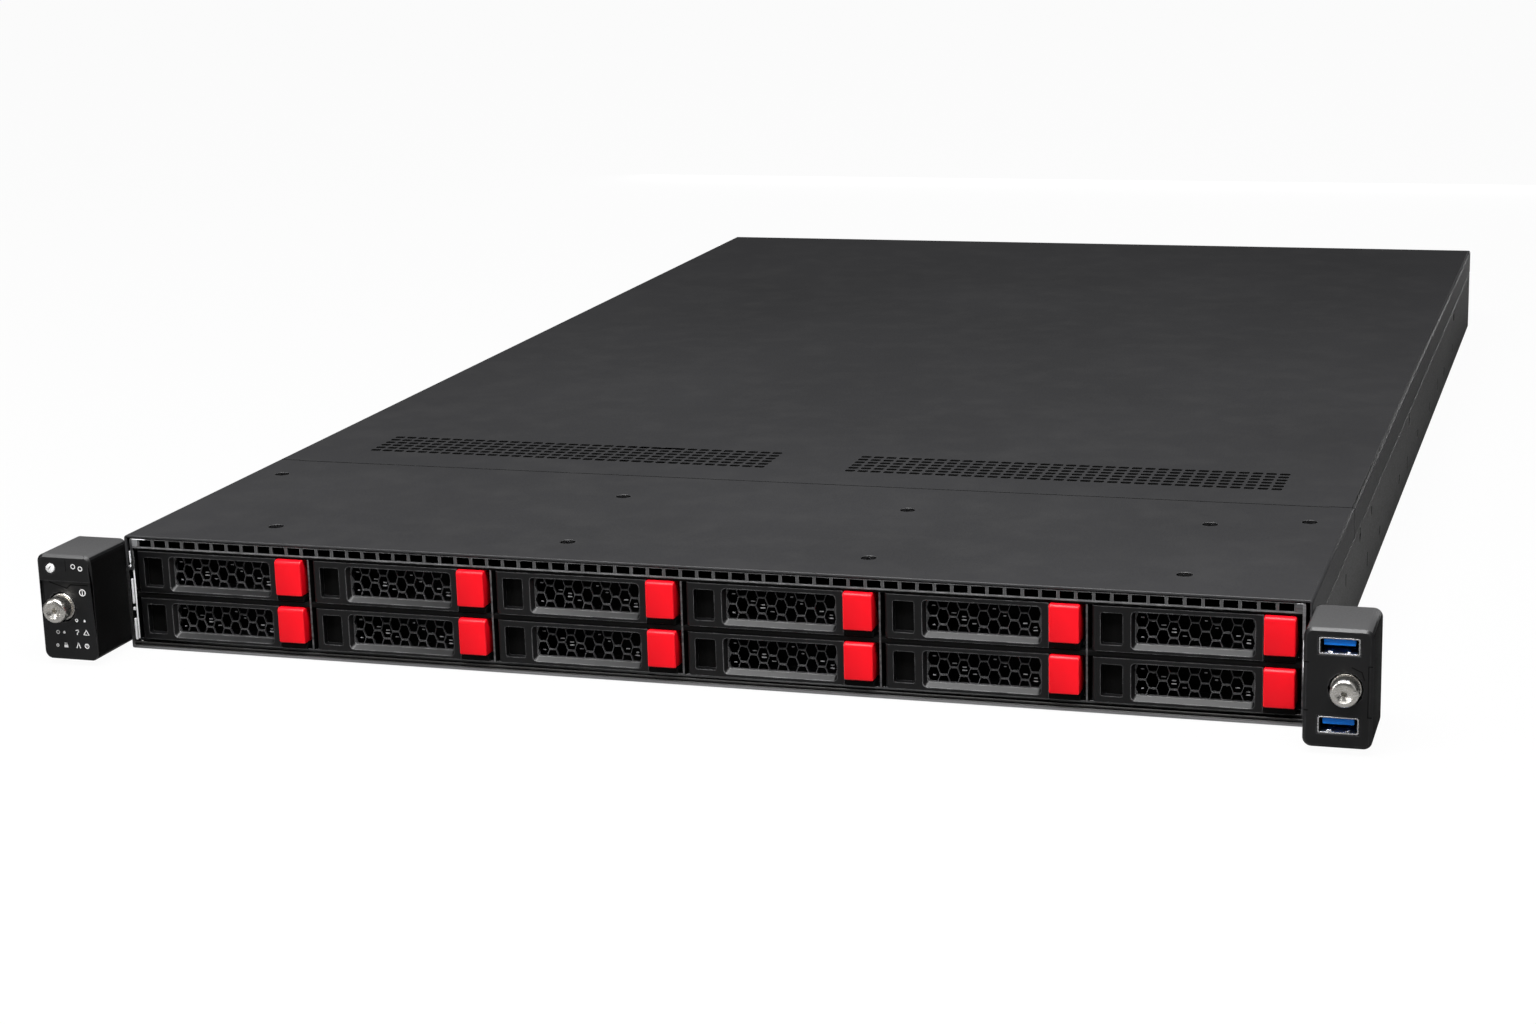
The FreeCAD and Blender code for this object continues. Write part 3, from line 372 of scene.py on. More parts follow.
FINISH = {
    "lid": coated("black_lid_coat", (0.024, 0.024, 0.0255), (0.16, 0.16, 0.165), 0.50, 1500.0,
                  0.00004, 0.0003, 0.4, 0.02, gloss=0.4),
    "strip": coated("strip_coat", (0.055, 0.055, 0.056), (0.30, 0.30, 0.305), 0.40, 1800.0,
                    0.00002, 0.0003, 0.8),
    "case": coated("black_powder_coat", (0.009, 0.0088, 0.0085), (0.20, 0.195, 0.19), 0.36, 1500.0,
                   0.00004, 0.0005, 0.6, 0.01, gloss=0.28),
    "bezel": coated("black_bezel_plastic", (0.0035, 0.0035, 0.0038), (0.20, 0.20, 0.205), 0.36,
                    2600.0, 0.00002, 0.0004, 0.8, gloss=0.3),
    # Paler comb: a painted highlight on its thin webs.
    "web": coated("comb_web_painted_highlight", (0.030, 0.030, 0.031), (0.26, 0.26, 0.265), 0.30, 2600.0,
                  0.00001, 0.0002, 0.8),
    # Light grey bars behind the comb: painted glints.
    "glint": coated("painted_glint_grey", (0.30, 0.30, 0.31), (0.60, 0.60, 0.61), 0.25, 2600.0,
                    0.00001, 0.0003, 0.6),
    "ear": coated("black_ear_plastic", (0.005, 0.005, 0.0054), (0.10, 0.10, 0.105), 0.38, 2400.0,
                  0.00002, 0.0007, 0.6, gloss=0.35),
    # Paler top of the ears: a painted highlight.
    "ear_top": coated("painted_lit_ear_top", (0.060, 0.060, 0.061), (0.16, 0.16, 0.165), 0.48, 2400.0,
                      0.00002, 0.0007, 0.6),
    # Deep black: the own colour of some black parts, and painted shade in holes, gaps and recesses.
    "pit": coated("deep_black_and_painted_shade", (0.0015, 0.0015, 0.0015), (0.006, 0.006, 0.006), 0.7,
                  gloss=0.1),
    "red": coated("red_release_plastic", (0.90, 0.002, 0.011), (1.0, 0.10, 0.11), 0.36, 2600.0,
                  0.00002, 0.0007, 0.5, gloss=0.3),
    "board": coated("green_solder_mask", (0.012, 0.075, 0.030), (0.05, 0.16, 0.08), 0.35, 700.0),
    "fan": coated("black_fan_plastic", (0.016, 0.016, 0.017), (0.05, 0.05, 0.05), 0.45, 1600.0),
    "block": coated("grey_end_block", (0.20, 0.20, 0.205), (0.5, 0.5, 0.5), 0.45, 2000.0,
                    0.00002, 0.0003, 0.8),
    "blue": coated("blue_tongue_plastic", (0.0, 0.18, 0.74), (0.02, 0.28, 0.85), 0.35, 3000.0,
                   0.00001, 0.0002, gloss=0.3),
    "white": coated("white_print", (0.80, 0.80, 0.80), (0.9, 0.9, 0.9), 0.5, 4000.0, 0.00001,
                    0.0001),
    "zinc": bare_metal("zinc_plated_sheet", (0.52, 0.52, 0.53), (0.34, 0.34, 0.35), 0.34),
    "cut": bare_metal("dull_cut_edge", (0.30, 0.30, 0.305), (0.12, 0.12, 0.125), 0.42, 700.0),
    # Near-white and not metallic: a painted highlight on cut edges.
    "bright": bare_metal("painted_highlight_edge", (0.96, 0.96, 0.97), (0.86, 0.86, 0.87), 0.45, 700.0,
                         0.00001, 0.0),
    "drive": bare_metal("drive_aluminium", (0.30, 0.30, 0.31), (0.16, 0.16, 0.165), 0.38, 500.0),
    "nickel": bare_metal("nickel_plate", (0.88, 0.86, 0.82), (0.74, 0.71, 0.66), 0.28, 1600.0),
    "shell": bare_metal("port_shell_steel", (0.86, 0.86, 0.87), (0.70, 0.70, 0.71), 0.26, 1500.0),
    "dark_screw": bare_metal("blackened_screw", (0.10, 0.10, 0.105), (0.04, 0.04, 0.042), 0.32,
                             1800.0),
    "sink": bare_metal("extruded_aluminium", (0.70, 0.70, 0.71), (0.52, 0.52, 0.53), 0.3, 600.0),
    "gold": bare_metal("gilt_contact", (0.83, 0.60, 0.24), (0.62, 0.42, 0.15), 0.25, 1200.0),
}
print("finishes:", len(FINISH))

# %% [markdown]
# Most pieces are sheet, plate or moulding, which are all an outline given a thickness. The outline
# is drawn as a flat curve, because Blender fills a curve's holes by itself, and the filled face is
# pushed out to a solid. A table turns a drawing made for the front, the top or a side into place.

# %% Outlines into solids
SIDES = {
    "front": Matrix(((1, 0, 0, 0), (0, 0, -1, 0), (0, 1, 0, 0), (0, 0, 0, 1))),
    "top": Matrix.Identity(4),
    "right": Matrix(((0, 0, 1, 0), (1, 0, 0, 0), (0, 1, 0, 0), (0, 0, 0, 1))),
}


def rectangle(left, low, right, high):
    """Corners of an upright rectangle."""
    return [(left, low), (right, low), (right, high), (left, high)]


def rounded(left, low, right, high, radius, steps=4):
    """A rectangle with round corners."""
    corners = ((right - radius, high - radius, 0), (left + radius, high - radius, 90),
               (left + radius, low + radius, 180), (right - radius, low + radius, 270))
    return [(x + radius * math.cos(math.radians(a + 90 * i / steps)),
             y + radius * math.sin(math.radians(a + 90 * i / steps)))
            for x, y, a in corners for i in range(steps + 1)]


def ring(x, y, radius, steps=24, start=0.0):
    """Corners of a regular outline round a centre."""
    return [(x + radius * math.cos(start + 2 * math.pi * i / steps),
             y + radius * math.sin(start + 2 * math.pi * i / steps)) for i in range(steps)]


def filled(loops, height=0.0):
    """Fill outlines and their holes into one flat face in a new bmesh, in millimetres."""
    curve = bpy.data.curves.new("outline", "CURVE")
    curve.dimensions = "2D"
    curve.fill_mode = "BOTH"
    for loop in loops:
        spline = curve.splines.new("POLY")
        spline.points.add(len(loop) - 1)
        for point, (x, y) in zip(spline.points, loop):
            point.co = (x, y, 0, 1)
        spline.use_cyclic_u = True
    drawn = bpy.data.objects.new("outline", curve)
    mesh = bpy.data.meshes.new_from_object(drawn)
    bm = bmesh.new()
    bm.from_mesh(mesh)
    bpy.data.objects.remove(drawn)
    bpy.data.curves.remove(curve)
    bpy.data.meshes.remove(mesh)
    bmesh.ops.remove_doubles(bm, verts=bm.verts, dist=1e-4)
    bmesh.ops.dissolve_limit(bm, angle_limit=0.01, verts=bm.verts, edges=bm.edges,
                             delimit=set())
    bmesh.ops.dissolve_degenerate(bm, dist=1e-4, edges=bm.edges)
    for face in bm.faces:
        if face.normal.z < 0:
            face.normal_flip()
    bmesh.ops.translate(bm, verts=bm.verts, vec=(0, 0, height))
    return bm


def push_out(bm, thickness):
    """Turn a flat face into a closed plate of that thickness above it."""
    bottom = list(bm.faces)
    grown = bmesh.ops.extrude_face_region(bm, geom=bottom, use_keep_orig=True)
    moved = [v for v in grown["geom"] if isinstance(v, bmesh.types.BMVert)]
    bmesh.ops.translate(bm, verts=moved, vec=(0, 0, thickness))
    for face in bottom:
        face.normal_flip()
    bmesh.ops.recalc_face_normals(bm, faces=bm.faces)
    return bm


def solid(loops, low, high, side="front"):
    """A plate from outlines, between two distances from the origin towards the side."""
    bm = push_out(filled(loops, low), high - low)
    bm.transform(SIDES[side])
    return bm


def bar(left, low, right, high, near, far, side="front"):
    """A plain bar, from the corners of its outline and its two distances."""
    return solid([rectangle(left, low, right, high)], near, far, side)


def join_loops(bm, first, second):
    """Faces between two loops of as many points."""
    for i in range(len(first)):
        j = (i + 1) % len(first)
        bm.faces.new((first[i], first[j], second[j], second[i]))


def join(*parts):
    """Put several bmeshes into one."""
    whole = parts[0]
    for part in parts[1:]:
        mesh = bpy.data.meshes.new("part")
        part.to_mesh(mesh)
        whole.from_mesh(mesh)
        part.free()
        bpy.data.meshes.remove(mesh)
    return whole


def carve(bm, cutter):
    """Cut a closed shape out of another with Blender's exact Boolean; both are used up."""
    things = []
    for shape in (bm, cutter):
        mesh = bpy.data.meshes.new("carving")
        shape.to_mesh(mesh)
        shape.free()
        things.append(bpy.data.objects.new("carving", mesh))
        bpy.context.scene.collection.objects.link(things[-1])
    cut = things[0].modifiers.new("cut", "BOOLEAN")
    cut.operation, cut.solver, cut.object = "DIFFERENCE", "EXACT", things[1]
    bpy.context.view_layer.update()
    ready = things[0].evaluated_get(bpy.context.evaluated_depsgraph_get())
    mesh = bpy.data.meshes.new_from_object(ready)
    result = bmesh.new()
    result.from_mesh(mesh)
    bpy.data.meshes.remove(mesh)
    for thing in things:
        mesh = thing.data
        bpy.data.objects.remove(thing)
        bpy.data.meshes.remove(mesh)
    return result


def to_mesh(bm, name):
    """A mesh in metres from a bmesh in millimetres, which is used up."""
    mesh = bpy.data.meshes.new(name)
    bmesh.ops.scale(bm, vec=(MM, MM, MM), verts=bm.verts)
    bm.to_mesh(mesh)
    bm.free()
    return mesh


def add_bevel(thing, width, segments=2, angle=30, smooth=True):
    """Round the edges, as every cut, bent or moulded edge is."""
    bevel = thing.modifiers.new("edges", "BEVEL")
    bevel.width = width * MM
    bevel.segments = segments
    bevel.limit_method = "ANGLE"
    bevel.angle_limit = math.radians(angle)
    bevel.harden_normals = smooth
    bevel.use_clamp_overlap = True
    if smooth:
        for polygon in thing.data.polygons:
            polygon.use_smooth = True
    return thing


def piece(name, mesh, finish, body, bevel=0.0, segments=2, angle=30, replaces=()):
    """A finished piece: mesh, finish, body and the nodes that it stands for."""
    thing = bpy.data.objects.new(name, mesh)
    bpy.context.scene.collection.objects.link(thing)
    if not mesh.materials:
        for key in [finish] if isinstance(finish, str) else finish:
            mesh.materials.append(FINISH[key])
    if bevel:
        add_bevel(thing, bevel, segments, angle)
    if replaces:
        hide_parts(*replaces)
    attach(thing, body)
    return thing


def made(name, shapes, finish, bevel=0.0, body="chassis", replaces=()):
    """A finished piece that is joined from several solids."""
    return piece(name, to_mesh(join(*shapes), name), finish, body, bevel, replaces=replaces)


def paint_faces(bm, paint):
    """Give each face the finish that paint(centre, normal) names by its number."""
    for face in bm.faces:
        face.material_index = paint(face.calc_center_median(), face.normal)


def smooth(thing, degrees):
    """Shade a piece smoothly, apart from its edges sharper than an angle."""
    thing.data.shade_smooth()
    thing.data.set_sharp_from_angle(angle=math.radians(degrees))


# %% [markdown]
# Many nodes have the right shape already but knife-sharp edges. A copy of such a node's mesh,
# cleaned of its triangles and with its edges rounded, stands for the node. A rule can give some
# faces another finish, as on a port where steel, black and blue meet in one piece.

# %% Softened copies of nodes


def node_mesh(node, drop=None):
    """The node's mesh in millimetres, with flat areas joined; drop picks faces to leave out."""
    bm = bmesh.new()
    bm.from_mesh(frame["nodes"][node].data)
    bmesh.ops.scale(bm, vec=(1 / MM, 1 / MM, 1 / MM), verts=bm.verts)
    bmesh.ops.remove_doubles(bm, verts=bm.verts, dist=1e-3)
    if drop:
        gone = [f for f in bm.faces if drop(f.calc_center_median(), f.normal)]
        bmesh.ops.delete(bm, geom=gone, context="FACES")
    bmesh.ops.dissolve_limit(bm, angle_limit=math.radians(0.5), verts=bm.verts, edges=bm.edges,
                             delimit=set())
    return bm


def soften(node, width, finishes, paint=None, segments=2, angle=30, drop=None):
    """Replace a node by a copy with round edges; paint(centre, normal) gives a face's finish."""
    bm = node_mesh(node, drop)
    if paint:
        paint_faces(bm, paint)
    return piece(node + "_skin", to_mesh(bm, node + "_shape"), finishes,
                 frame["nodes"][node]["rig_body"], width, segments, angle, (node,))


# %% [markdown]
# The lids are folded from one-millimetre steel sheet. In the studio a bent sheet is easiest as a
# surface with no thickness: a flat top with its holes, a round bend at each side and a skirt.
# Blender's Solidify then gives it the thickness of the sheet, so the holes show their depth and
# the bend keeps an even wall.

# %% Lids
BEND = 1.2                   # outer radius of the folds
NOTCH_X, NOTCH = 209.5, 0.7  # where the seam steps, and by how much
SHEET = 1.0
DIMPLE_RADIUS = 3.0
SMALL, SKIRT_X = 40, 210     # a dimple's faces are smaller, and nearer the middle
VENT_PITCH_X, VENT_PITCH_Y = 5.25, 4.9
VENT_STARTS, VENT_FRONT = (-188.3, 17.3), 147.2
dimples = [(-168, 21.5), (-51, 21.5), (62, 21.5), (173, 21.5), (-55, 91), (58, 91), (171, 91),
           (-205.5, 101), (205.5, 101)]


def lid_end(y, stepped):
    """One end of a lid's flat top, from left to right; near the sides it may step back."""
    side = lid_high.x - BEND
    if not stepped:
        return [(-side, y), (side, y)]
    return [(-side, y + NOTCH), (-NOTCH_X, y + NOTCH), (-NOTCH_X, y), (NOTCH_X, y),
            (NOTCH_X, y + NOTCH), (side, y + NOTCH)]


def folded_lid(front, back, holes, dimple_places, front_step, back_step):
    """Surface of a lid between two distances, with a skirt along both sides."""
    top, half = lid_high.z, lid_high.x
    rings = [ring(x, y, DIMPLE_RADIUS) for x, y in dimple_places]
    outline = lid_end(front, front_step) + lid_end(back, back_step)[::-1]
    bm = filled([outline] + holes + rings, top)
    ends = (front + NOTCH * front_step, back + NOTCH * back_step)
    for sign in (-1, 1):
        profile = [(half - BEND + BEND * math.sin(math.radians(a)),
                    top - BEND + BEND * math.cos(math.radians(a))) for a in range(0, 91, 15)]
        profile.append((half, lid_low.z))
        rows = [[bm.verts.new((sign * x, y, z)) for x, z in profile] for y in ends]
        for i in range(len(profile) - 1):
            face = [rows[0][i], rows[0][i + 1], rows[1][i + 1], rows[1][i]]
            bm.faces.new(face if sign > 0 else face[::-1])
    for (x, y), outer in zip(dimple_places, rings):
        levels = [[bm.verts.new((x + (px - x) * s, y + (py - y) * s, top + z)) for px, py in outer]
                  for s, z in ((1, 0), (0.95, -0.16), (0.92, -0.75))]
        for upper, lower in zip(levels, levels[1:]):
            join_loops(bm, upper, lower)
        bm.faces.new(levels[-1])
    bmesh.ops.remove_doubles(bm, verts=bm.verts, dist=1e-3)
    bmesh.ops.recalc_face_normals(bm, faces=bm.faces)
    if sum(f.calc_area() * f.normal.z for f in bm.faces) < 0:
        bmesh.ops.reverse_faces(bm, faces=bm.faces)
    rounded_off = bm.edges.layers.float.new("bevel_weight_edge")
    for edge in bm.edges:
        across = [min(abs(v.co.y - front), abs(v.co.y - back), abs(v.co.y - ends[0]),
                      abs(v.co.y - ends[1])) < 0.01 for v in edge.verts]
        if edge.is_boundary and all(across):
            edge[rounded_off] = 1.0
    return bm


def thicken(thing, top):
    """Make the thickness real, and put back the few corners that went up instead of down."""
    bpy.context.view_layer.update()
    ready = thing.evaluated_get(bpy.context.evaluated_depsgraph_get())
    mesh = bpy.data.meshes.new_from_object(ready)
    for vertex in mesh.vertices:
        if vertex.co.z > top + 0.01 * MM:
            vertex.co.z = top - SHEET * MM
    thing.modifiers.clear()
    thing.data = mesh


def make_lid(name, node, holes, dimple_places=(), front_step=0, back_step=0):
    """A lid from sheet in place of a node; its small holes and dimples get painted shade on their
    walls.
    """
    low, high = box_mm(node)
    mesh = to_mesh(folded_lid(low.y, high.y, holes, dimple_places, front_step, back_step), name)
    thing = piece(name, mesh, ["lid", "pit"], frame["nodes"][node]["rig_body"],
                  replaces=(node,))
    for polygon in mesh.polygons:
        at_bend = abs(polygon.center.x) > (high.x - BEND) * MM
        polygon.use_smooth = at_bend and polygon.center.z > (high.z - BEND) * MM
        # The dimples' walls and floors, below the top, get painted shade.
        small = polygon.area < SMALL * MM * MM and abs(polygon.center.x) < SKIRT_X * MM
        if small and polygon.center.z < (high.z - 0.1) * MM:
            polygon.material_index = 1
    sheet = thing.modifiers.new("sheet", "SOLIDIFY")
    sheet.thickness = SHEET * MM
    sheet.offset = -1
    # The walls of the vent slots get painted shade.
    sheet.material_offset_rim = 1 if holes else 0
    thicken(thing, high.z * MM)
    add_bevel(thing, 0.45, 3, smooth=False)
    thing.modifiers["edges"].limit_method = "WEIGHT"
    return thing


def vent_slot(start, column, row):
    """One slot, a hair off the grid, because a fill leaves slivers between aligned corners."""
    x = start + VENT_PITCH_X * column + 0.003 * math.sin(2.3 * row)
    y = VENT_FRONT + VENT_PITCH_Y * row + 0.003 * math.sin(1.7 * column)
    return rounded(x, y, x + 4.2, y + 3.1, 0.9, 2)


vent_slots = [vent_slot(start, column, row)
              for start in VENT_STARTS for column in range(33) for row in range(6)]
make_lid("front_lid", "front_cover", [], dimples, 0, 1)
make_lid("rear_lid", "rear_cover", vent_slots, (), 1, 0)
print("vent slots:", len(vent_slots))

# %% [markdown]
# The screws of the lid are small flat heads, sunk in their dimples. Each head is a low disc with a
# six-sided socket, blackened like the lid, and a thin shadow gap runs round it.

# %% Lid screws
HEAD_UNDER, HEAD_TOP = lid_high.z - 0.7, lid_high.z - 0.22
heads = []
for x, y in dimples:
    heads.append(solid([ring(x, y, 2.15), ring(x, y, 0.95, 6)], HEAD_UNDER, HEAD_TOP,
                       "top"))
    heads.append(solid([ring(x, y, 1.0, 6)], HEAD_UNDER, HEAD_UNDER + 0.08, "top"))
made("lid_screws", heads, "dark_screw", 0.16, replaces=("cover_screws",))
print("screws:", len(dimples))

# %% [markdown]
# The case is one sheet folded to a floor with two walls. Its end view is drawn with round bends
# and pushed out over the whole length, and the holes for the rack's rails are then cut through the
# walls, because a cut through a folded sheet keeps its wall even. Large round holes take the studs
# of the inner rail, and the small keyholes below them are for rivets and for the rail's springs.

# %% Case walls and floor
case_low, case_high = box_mm("chassis_tray")
CASE_SIDE, CASE_TOP = case_high.x, case_high.z
JOG = 31.3                    # height at which the walls step in behind the lid's skirt
WALL_IN = CASE_SIDE - SHEET   # inner face of a wall
TUCK = CASE_SIDE - 2.3        # outer face of its upper part
TUCK_IN = TUCK - SHEET


def bent(points, radius, steps=3):
    """Round every corner of an outline by a radius, as a bend in sheet is."""
    result = []
    for i, (x, y) in enumerate(points):
        here = Vector((x, y))
        before, after = Vector(points[i - 1]) - here, Vector(points[(i + 1) % len(points)]) - here
        reach = min(radius, before.length / 2.1, after.length / 2.1)
        a, b = here + before.normalized() * reach, here + after.normalized() * reach
        for step in range(steps + 1):
            t = step / steps
            result.append(tuple((1 - t) ** 2 * a + 2 * t * (1 - t) * here + t * t * b))
    return result


def keyhole(x, y, radius, half_slot, up):
    """A round hole with a slot above it, in which the head of a stud slides and then locks."""
    start = math.acos(half_slot / radius)
    turns = [start - (2 * math.pi - (math.pi - 2 * start)) * i / 16 for i in range(17)]
    arc = [(x + radius * math.cos(a), y + radius * math.sin(a)) for a in turns]
    return ([(x + half_slot, y + up)] + arc + [(x - half_slot, y + up)])[::-1]


def wall_holes():
    """Outlines, in (y, z), of the holes in a side wall."""
    studs = [keyhole(y, 26.6, 2.3, 1.0, 4.0) for y in (147, 355, 619, 725)]
    low_row = [y - 2 for y in (179, 228, 313, 352, 404, 472, 520, 561, 616, 730)]
    keyholes = []
    for i, y in enumerate(low_row):
        z = 9.0 if i % 2 else 10.4
        keyholes.append(keyhole(y, z - 0.6, 1.6, 0.8, 3.0) if i % 3
                        else rounded(y - 0.7, z - 3.0, y + 0.7, z + 3.0, 0.6, 2))
    return studs + keyholes + [rounded(98, 20.5, 100, 25.5, 0.9, 2),
                               rounded(188, 24.6, 191, 28.6, 0.9, 2)]


right_half = [(CASE_SIDE, 0), (CASE_SIDE, JOG), (TUCK, JOG), (TUCK, CASE_TOP), (TUCK_IN, CASE_TOP),
              (TUCK_IN, JOG - SHEET), (WALL_IN, JOG - SHEET), (WALL_IN, SHEET)]
case_outline = right_half + [(-x, z) for x, z in reversed(right_half)]
cutters = [solid([outline], left, left + 3, "right")
           for left in (WALL_IN - 1, -CASE_SIDE - 1) for outline in wall_holes()]
shell = carve(solid([bent(case_outline, 0.7)], SHEET - case_high.y, -case_low.y),
              join(*cutters))


def case_paint(centre, normal):
    """The cut front edges of the walls: a painted highlight on the left, duller bare zinc on the
    right.
    """
    if normal.y < -0.5 and centre.y < -1.9 and centre.z > 1.2:
        return 1 if centre.x < 0 else 2
    return 0


paint_faces(shell, case_paint)
case_shell = piece("case_shell", to_mesh(shell, "case_shell"), ["case", "bright", "zinc"],
                   "chassis", replaces=("chassis_tray",))
smooth(case_shell, 25)
print("holes in the walls:", len(cutters))

# %% [markdown]
# The front lip is the edge that one sees under the bays. It is folded back on itself, so it shows
# two thin rounded lines that catch the lamp, with a dark groove between them where the fold
# closes.

# %% Front lip
folds = ([(-1.95, 0.0), (-0.5, 0.0), (-0.5, 1.35), (-1.95, 1.35)],
         [(-1.75, 1.6), (-0.5, 1.6), (-0.5, 2.5), (-1.75, 2.5)])
lip_bars = [solid([bent(corners, 0.6, 4)], -WALL_IN, WALL_IN, "right") for corners in folds]
smooth(made("front_lip", lip_bars, "case"), 30)
print("folds of the lip:", len(folds))

# %% [markdown]
# The drive cage is plain sheet with the raw cut edges of its dividers facing the front. It is
# painted black as shade, and its left edge has a painted highlight.
# The strip of small vents over the bays is thin sheet, punched with seventy openings.

# %% Drive cage and vent strip
cage_low, cage_high = box_mm("drive_cage")
BAY_PITCH = 72.0
STRIP_UNDER = cage_high.z - 3.35
STRIP_LEFT, STRIP_PITCH, STRIP_OPENING = -213.0, 6.1, 5.0


def cage_paint(centre, normal):
    """Painted shade on the cage, bare cut front edges, and a painted highlight on the left end's
    edge.
    """
    from_divider = (centre.x - cage_low.x) % BAY_PITCH
    if normal.y > -0.5 or from_divider > 1 or centre.z > 38:
        return 0
    return 1 if centre.x < cage_low.x + 1 else 2


soften("drive_cage", 0.08, ["pit", "bright", "cut"], cage_paint,
       drop=lambda c, n: c.z > STRIP_UNDER + 0.01 or (n.z < -0.5 and c.z > STRIP_UNDER - 0.01))
strip_holes = [rectangle(x, STRIP_UNDER + 0.3, x + STRIP_OPENING, STRIP_UNDER + 3.1)
               for x in [STRIP_LEFT + STRIP_PITCH * i for i in range(70)]]
strip_face = solid([rectangle(cage_low.x, STRIP_UNDER, cage_high.x, cage_high.z)] + strip_holes,
                   1.0, 1.7)
strip_rim = bar(cage_low.x, STRIP_UNDER - 0.15, cage_high.x, STRIP_UNDER + 0.2, 1.0, 1.95)
made("vent_strip", [strip_face, strip_rim], "strip", 0.1)
# Thin black bars under the strip are painted shade standing for slots.
dashes = [bar(-216.0 + STRIP_PITCH * i, STRIP_UNDER - 0.75, -212.4 + STRIP_PITCH * i,
              STRIP_UNDER - 0.3, 1.65, 1.75) for i in range(71)]
made("painted_shade_slots", dashes, "pit")
for name, x, finish in (("left_end_block", cage_low.x + 0.1, "block"),
                        ("right_end_block", cage_high.x - 2.8, "cut")):
    end = solid([rounded(x, STRIP_UNDER + 0.4, x + 2.7, cage_high.z, 0.4, 3)], 1.0, 1.95)
    made(name, [end], finish, 0.2)
# Painted highlights: a bright line on top of the left end block and bright bars along the cage's
# left edge.
highlight_bars = [bar(cage_low.x + 0.1, cage_high.z - 0.32, cage_low.x + 6.0, cage_high.z, 1.2, 1.97)]
highlight_bars += [bar(cage_low.x - 1.05, low_z, cage_low.x - 0.35, high_z, 1.2, 1.97)
                for low_z, high_z in ((3.2, 11.5), (14.6, 15.8), (17.2, 26.8), (31.2, 32.2),
                                      (33, 37.5))]
made("left_painted_highlights", highlight_bars, "bright", 0.06)
print("openings of the vent strip:", len(strip_holes))

# %% [markdown]
# The lever is the face of each drive bay: a satin black moulding with a window at its hinge end,
# whose back is painted black as shade, and a long recess with bevelled walls. A honeycomb fills
# the floor of the recess to let air through; it is painted paler than the face, a painted
# highlight on its thin webs. The real comb has two whole cells in one column, and one whole and
# two half cells in the next. It is drawn flat with its cells cut off at the recess's walls, then
# given its thickness.

# %% Lever bezel
lever_low, lever_high = box_mm("tray_lever_01")
LEVER_W, LEVER_H = lever_high.x - lever_low.x, lever_high.z - lever_low.z
WINDOW = (3.0, 2.3, 10.5, LEVER_H - 2.3)
OPENING = (13.3, 1.1, LEVER_W - 2.6, LEVER_H - 1.5)
FLOOR = (14.5, 2.7, LEVER_W - 2.95, LEVER_H - 2.0)
RECESS = 2.0
CELL_COLUMNS, CELL_RISE, CELL_HALF, CELL_FLAT, CELL_WEB = 11, 5.75, 2.2, 1.25, 0.45


def clip(outline, level, side):
    """Cut an outline at a height and keep what lies above it for 1, or below it for -1."""
    kept = []
    for (ax, az), (bx, bz) in zip(outline, outline[1:] + outline[:1]):
        a_in, b_in = (az - level) * side >= 0, (bz - level) * side >= 0
        if a_in:
            kept.append((ax, az))
        if a_in != b_in:
            share_along = (level - az) / (bz - az)
            kept.append((ax + (bx - ax) * share_along, level))
    return kept


def comb_cells(left, low, right, high):
    """Six-sided holes in columns set off by half a cell, cut off at the walls."""
    pitch = (right - left - 2 * CELL_HALF) / (CELL_COLUMNS - 1)
    middle = (low + high) / 2
    tall = (CELL_RISE - CELL_WEB) / 2
    corners = [(CELL_HALF, 0), (CELL_FLAT, tall), (-CELL_FLAT, tall), (-CELL_HALF, 0),
               (-CELL_FLAT, -tall), (CELL_FLAT, -tall)]
    cells = []
    for column in range(CELL_COLUMNS):
        x = left + CELL_HALF + pitch * column
        for step in [-1, 0, 1] if column % 2 else [-0.5, 0.5]:
            z = middle + step * CELL_RISE
            cut = [(x + dx, z + dz) for dx, dz in corners]
            cut = clip(clip(cut, high - 0.25, -1), low + 0.25, 1)
            if len(cut) > 2:
                cells.append(cut)
    return cells


def slopes(outer, inner, depth):
    """Bevelled walls with round corners from the mouth of a recess down to its floor."""
    bm = bmesh.new()
    tops = [bm.verts.new((x, y, -0.12)) for x, y in rounded(*outer, 1.5, 5)]
    feet = [bm.verts.new((x, y, -depth)) for x, y in rounded(*inner, 1.0, 5)]
    join_loops(bm, tops, feet)
    bm.transform(SIDES["front"])
    return bm


def lever_shape():
    """The lever: its face with a round hinge end, its back, the slopes and the comb."""
    plate = solid([rectangle(0, 0, LEVER_W, LEVER_H), rounded(*WINDOW, 0.7),
                   rounded(*OPENING, 1.5, 5)], -3.0, 0)
    ends = [e for e in plate.edges if all(v.co.x < 0.01 for v in e.verts)
            and abs(e.verts[0].co.z - e.verts[1].co.z) > 1]
    bmesh.ops.bevel(plate, geom=ends, offset=1.3, segments=4, affect="EDGES", profile=0.5)
    back = bar(1.5, 0.3, 12.5, LEVER_H - 0.3, -4.0, -3.0)
    comb = solid([rectangle(FLOOR[0] - 1, FLOOR[1] - 1, FLOOR[2] + 0.3, FLOOR[3] + 0.5)]
                 + comb_cells(*FLOOR), -RECESS - 1.0, -RECESS)
    return join(plate, back, slopes(OPENING, FLOOR, RECESS), comb)


def lever_paint(centre, normal):
    """The comb is painted paler as a highlight on its webs, and what lies behind the window gets
    painted shade.
    """
    if centre.y > 2.9:
        return 1
    inside = FLOOR[0] < centre.x < FLOOR[2] and FLOOR[1] - 0.9 < centre.z < FLOOR[3] + 0.4
    return 2 if inside and centre.y > RECESS - 0.05 else 0


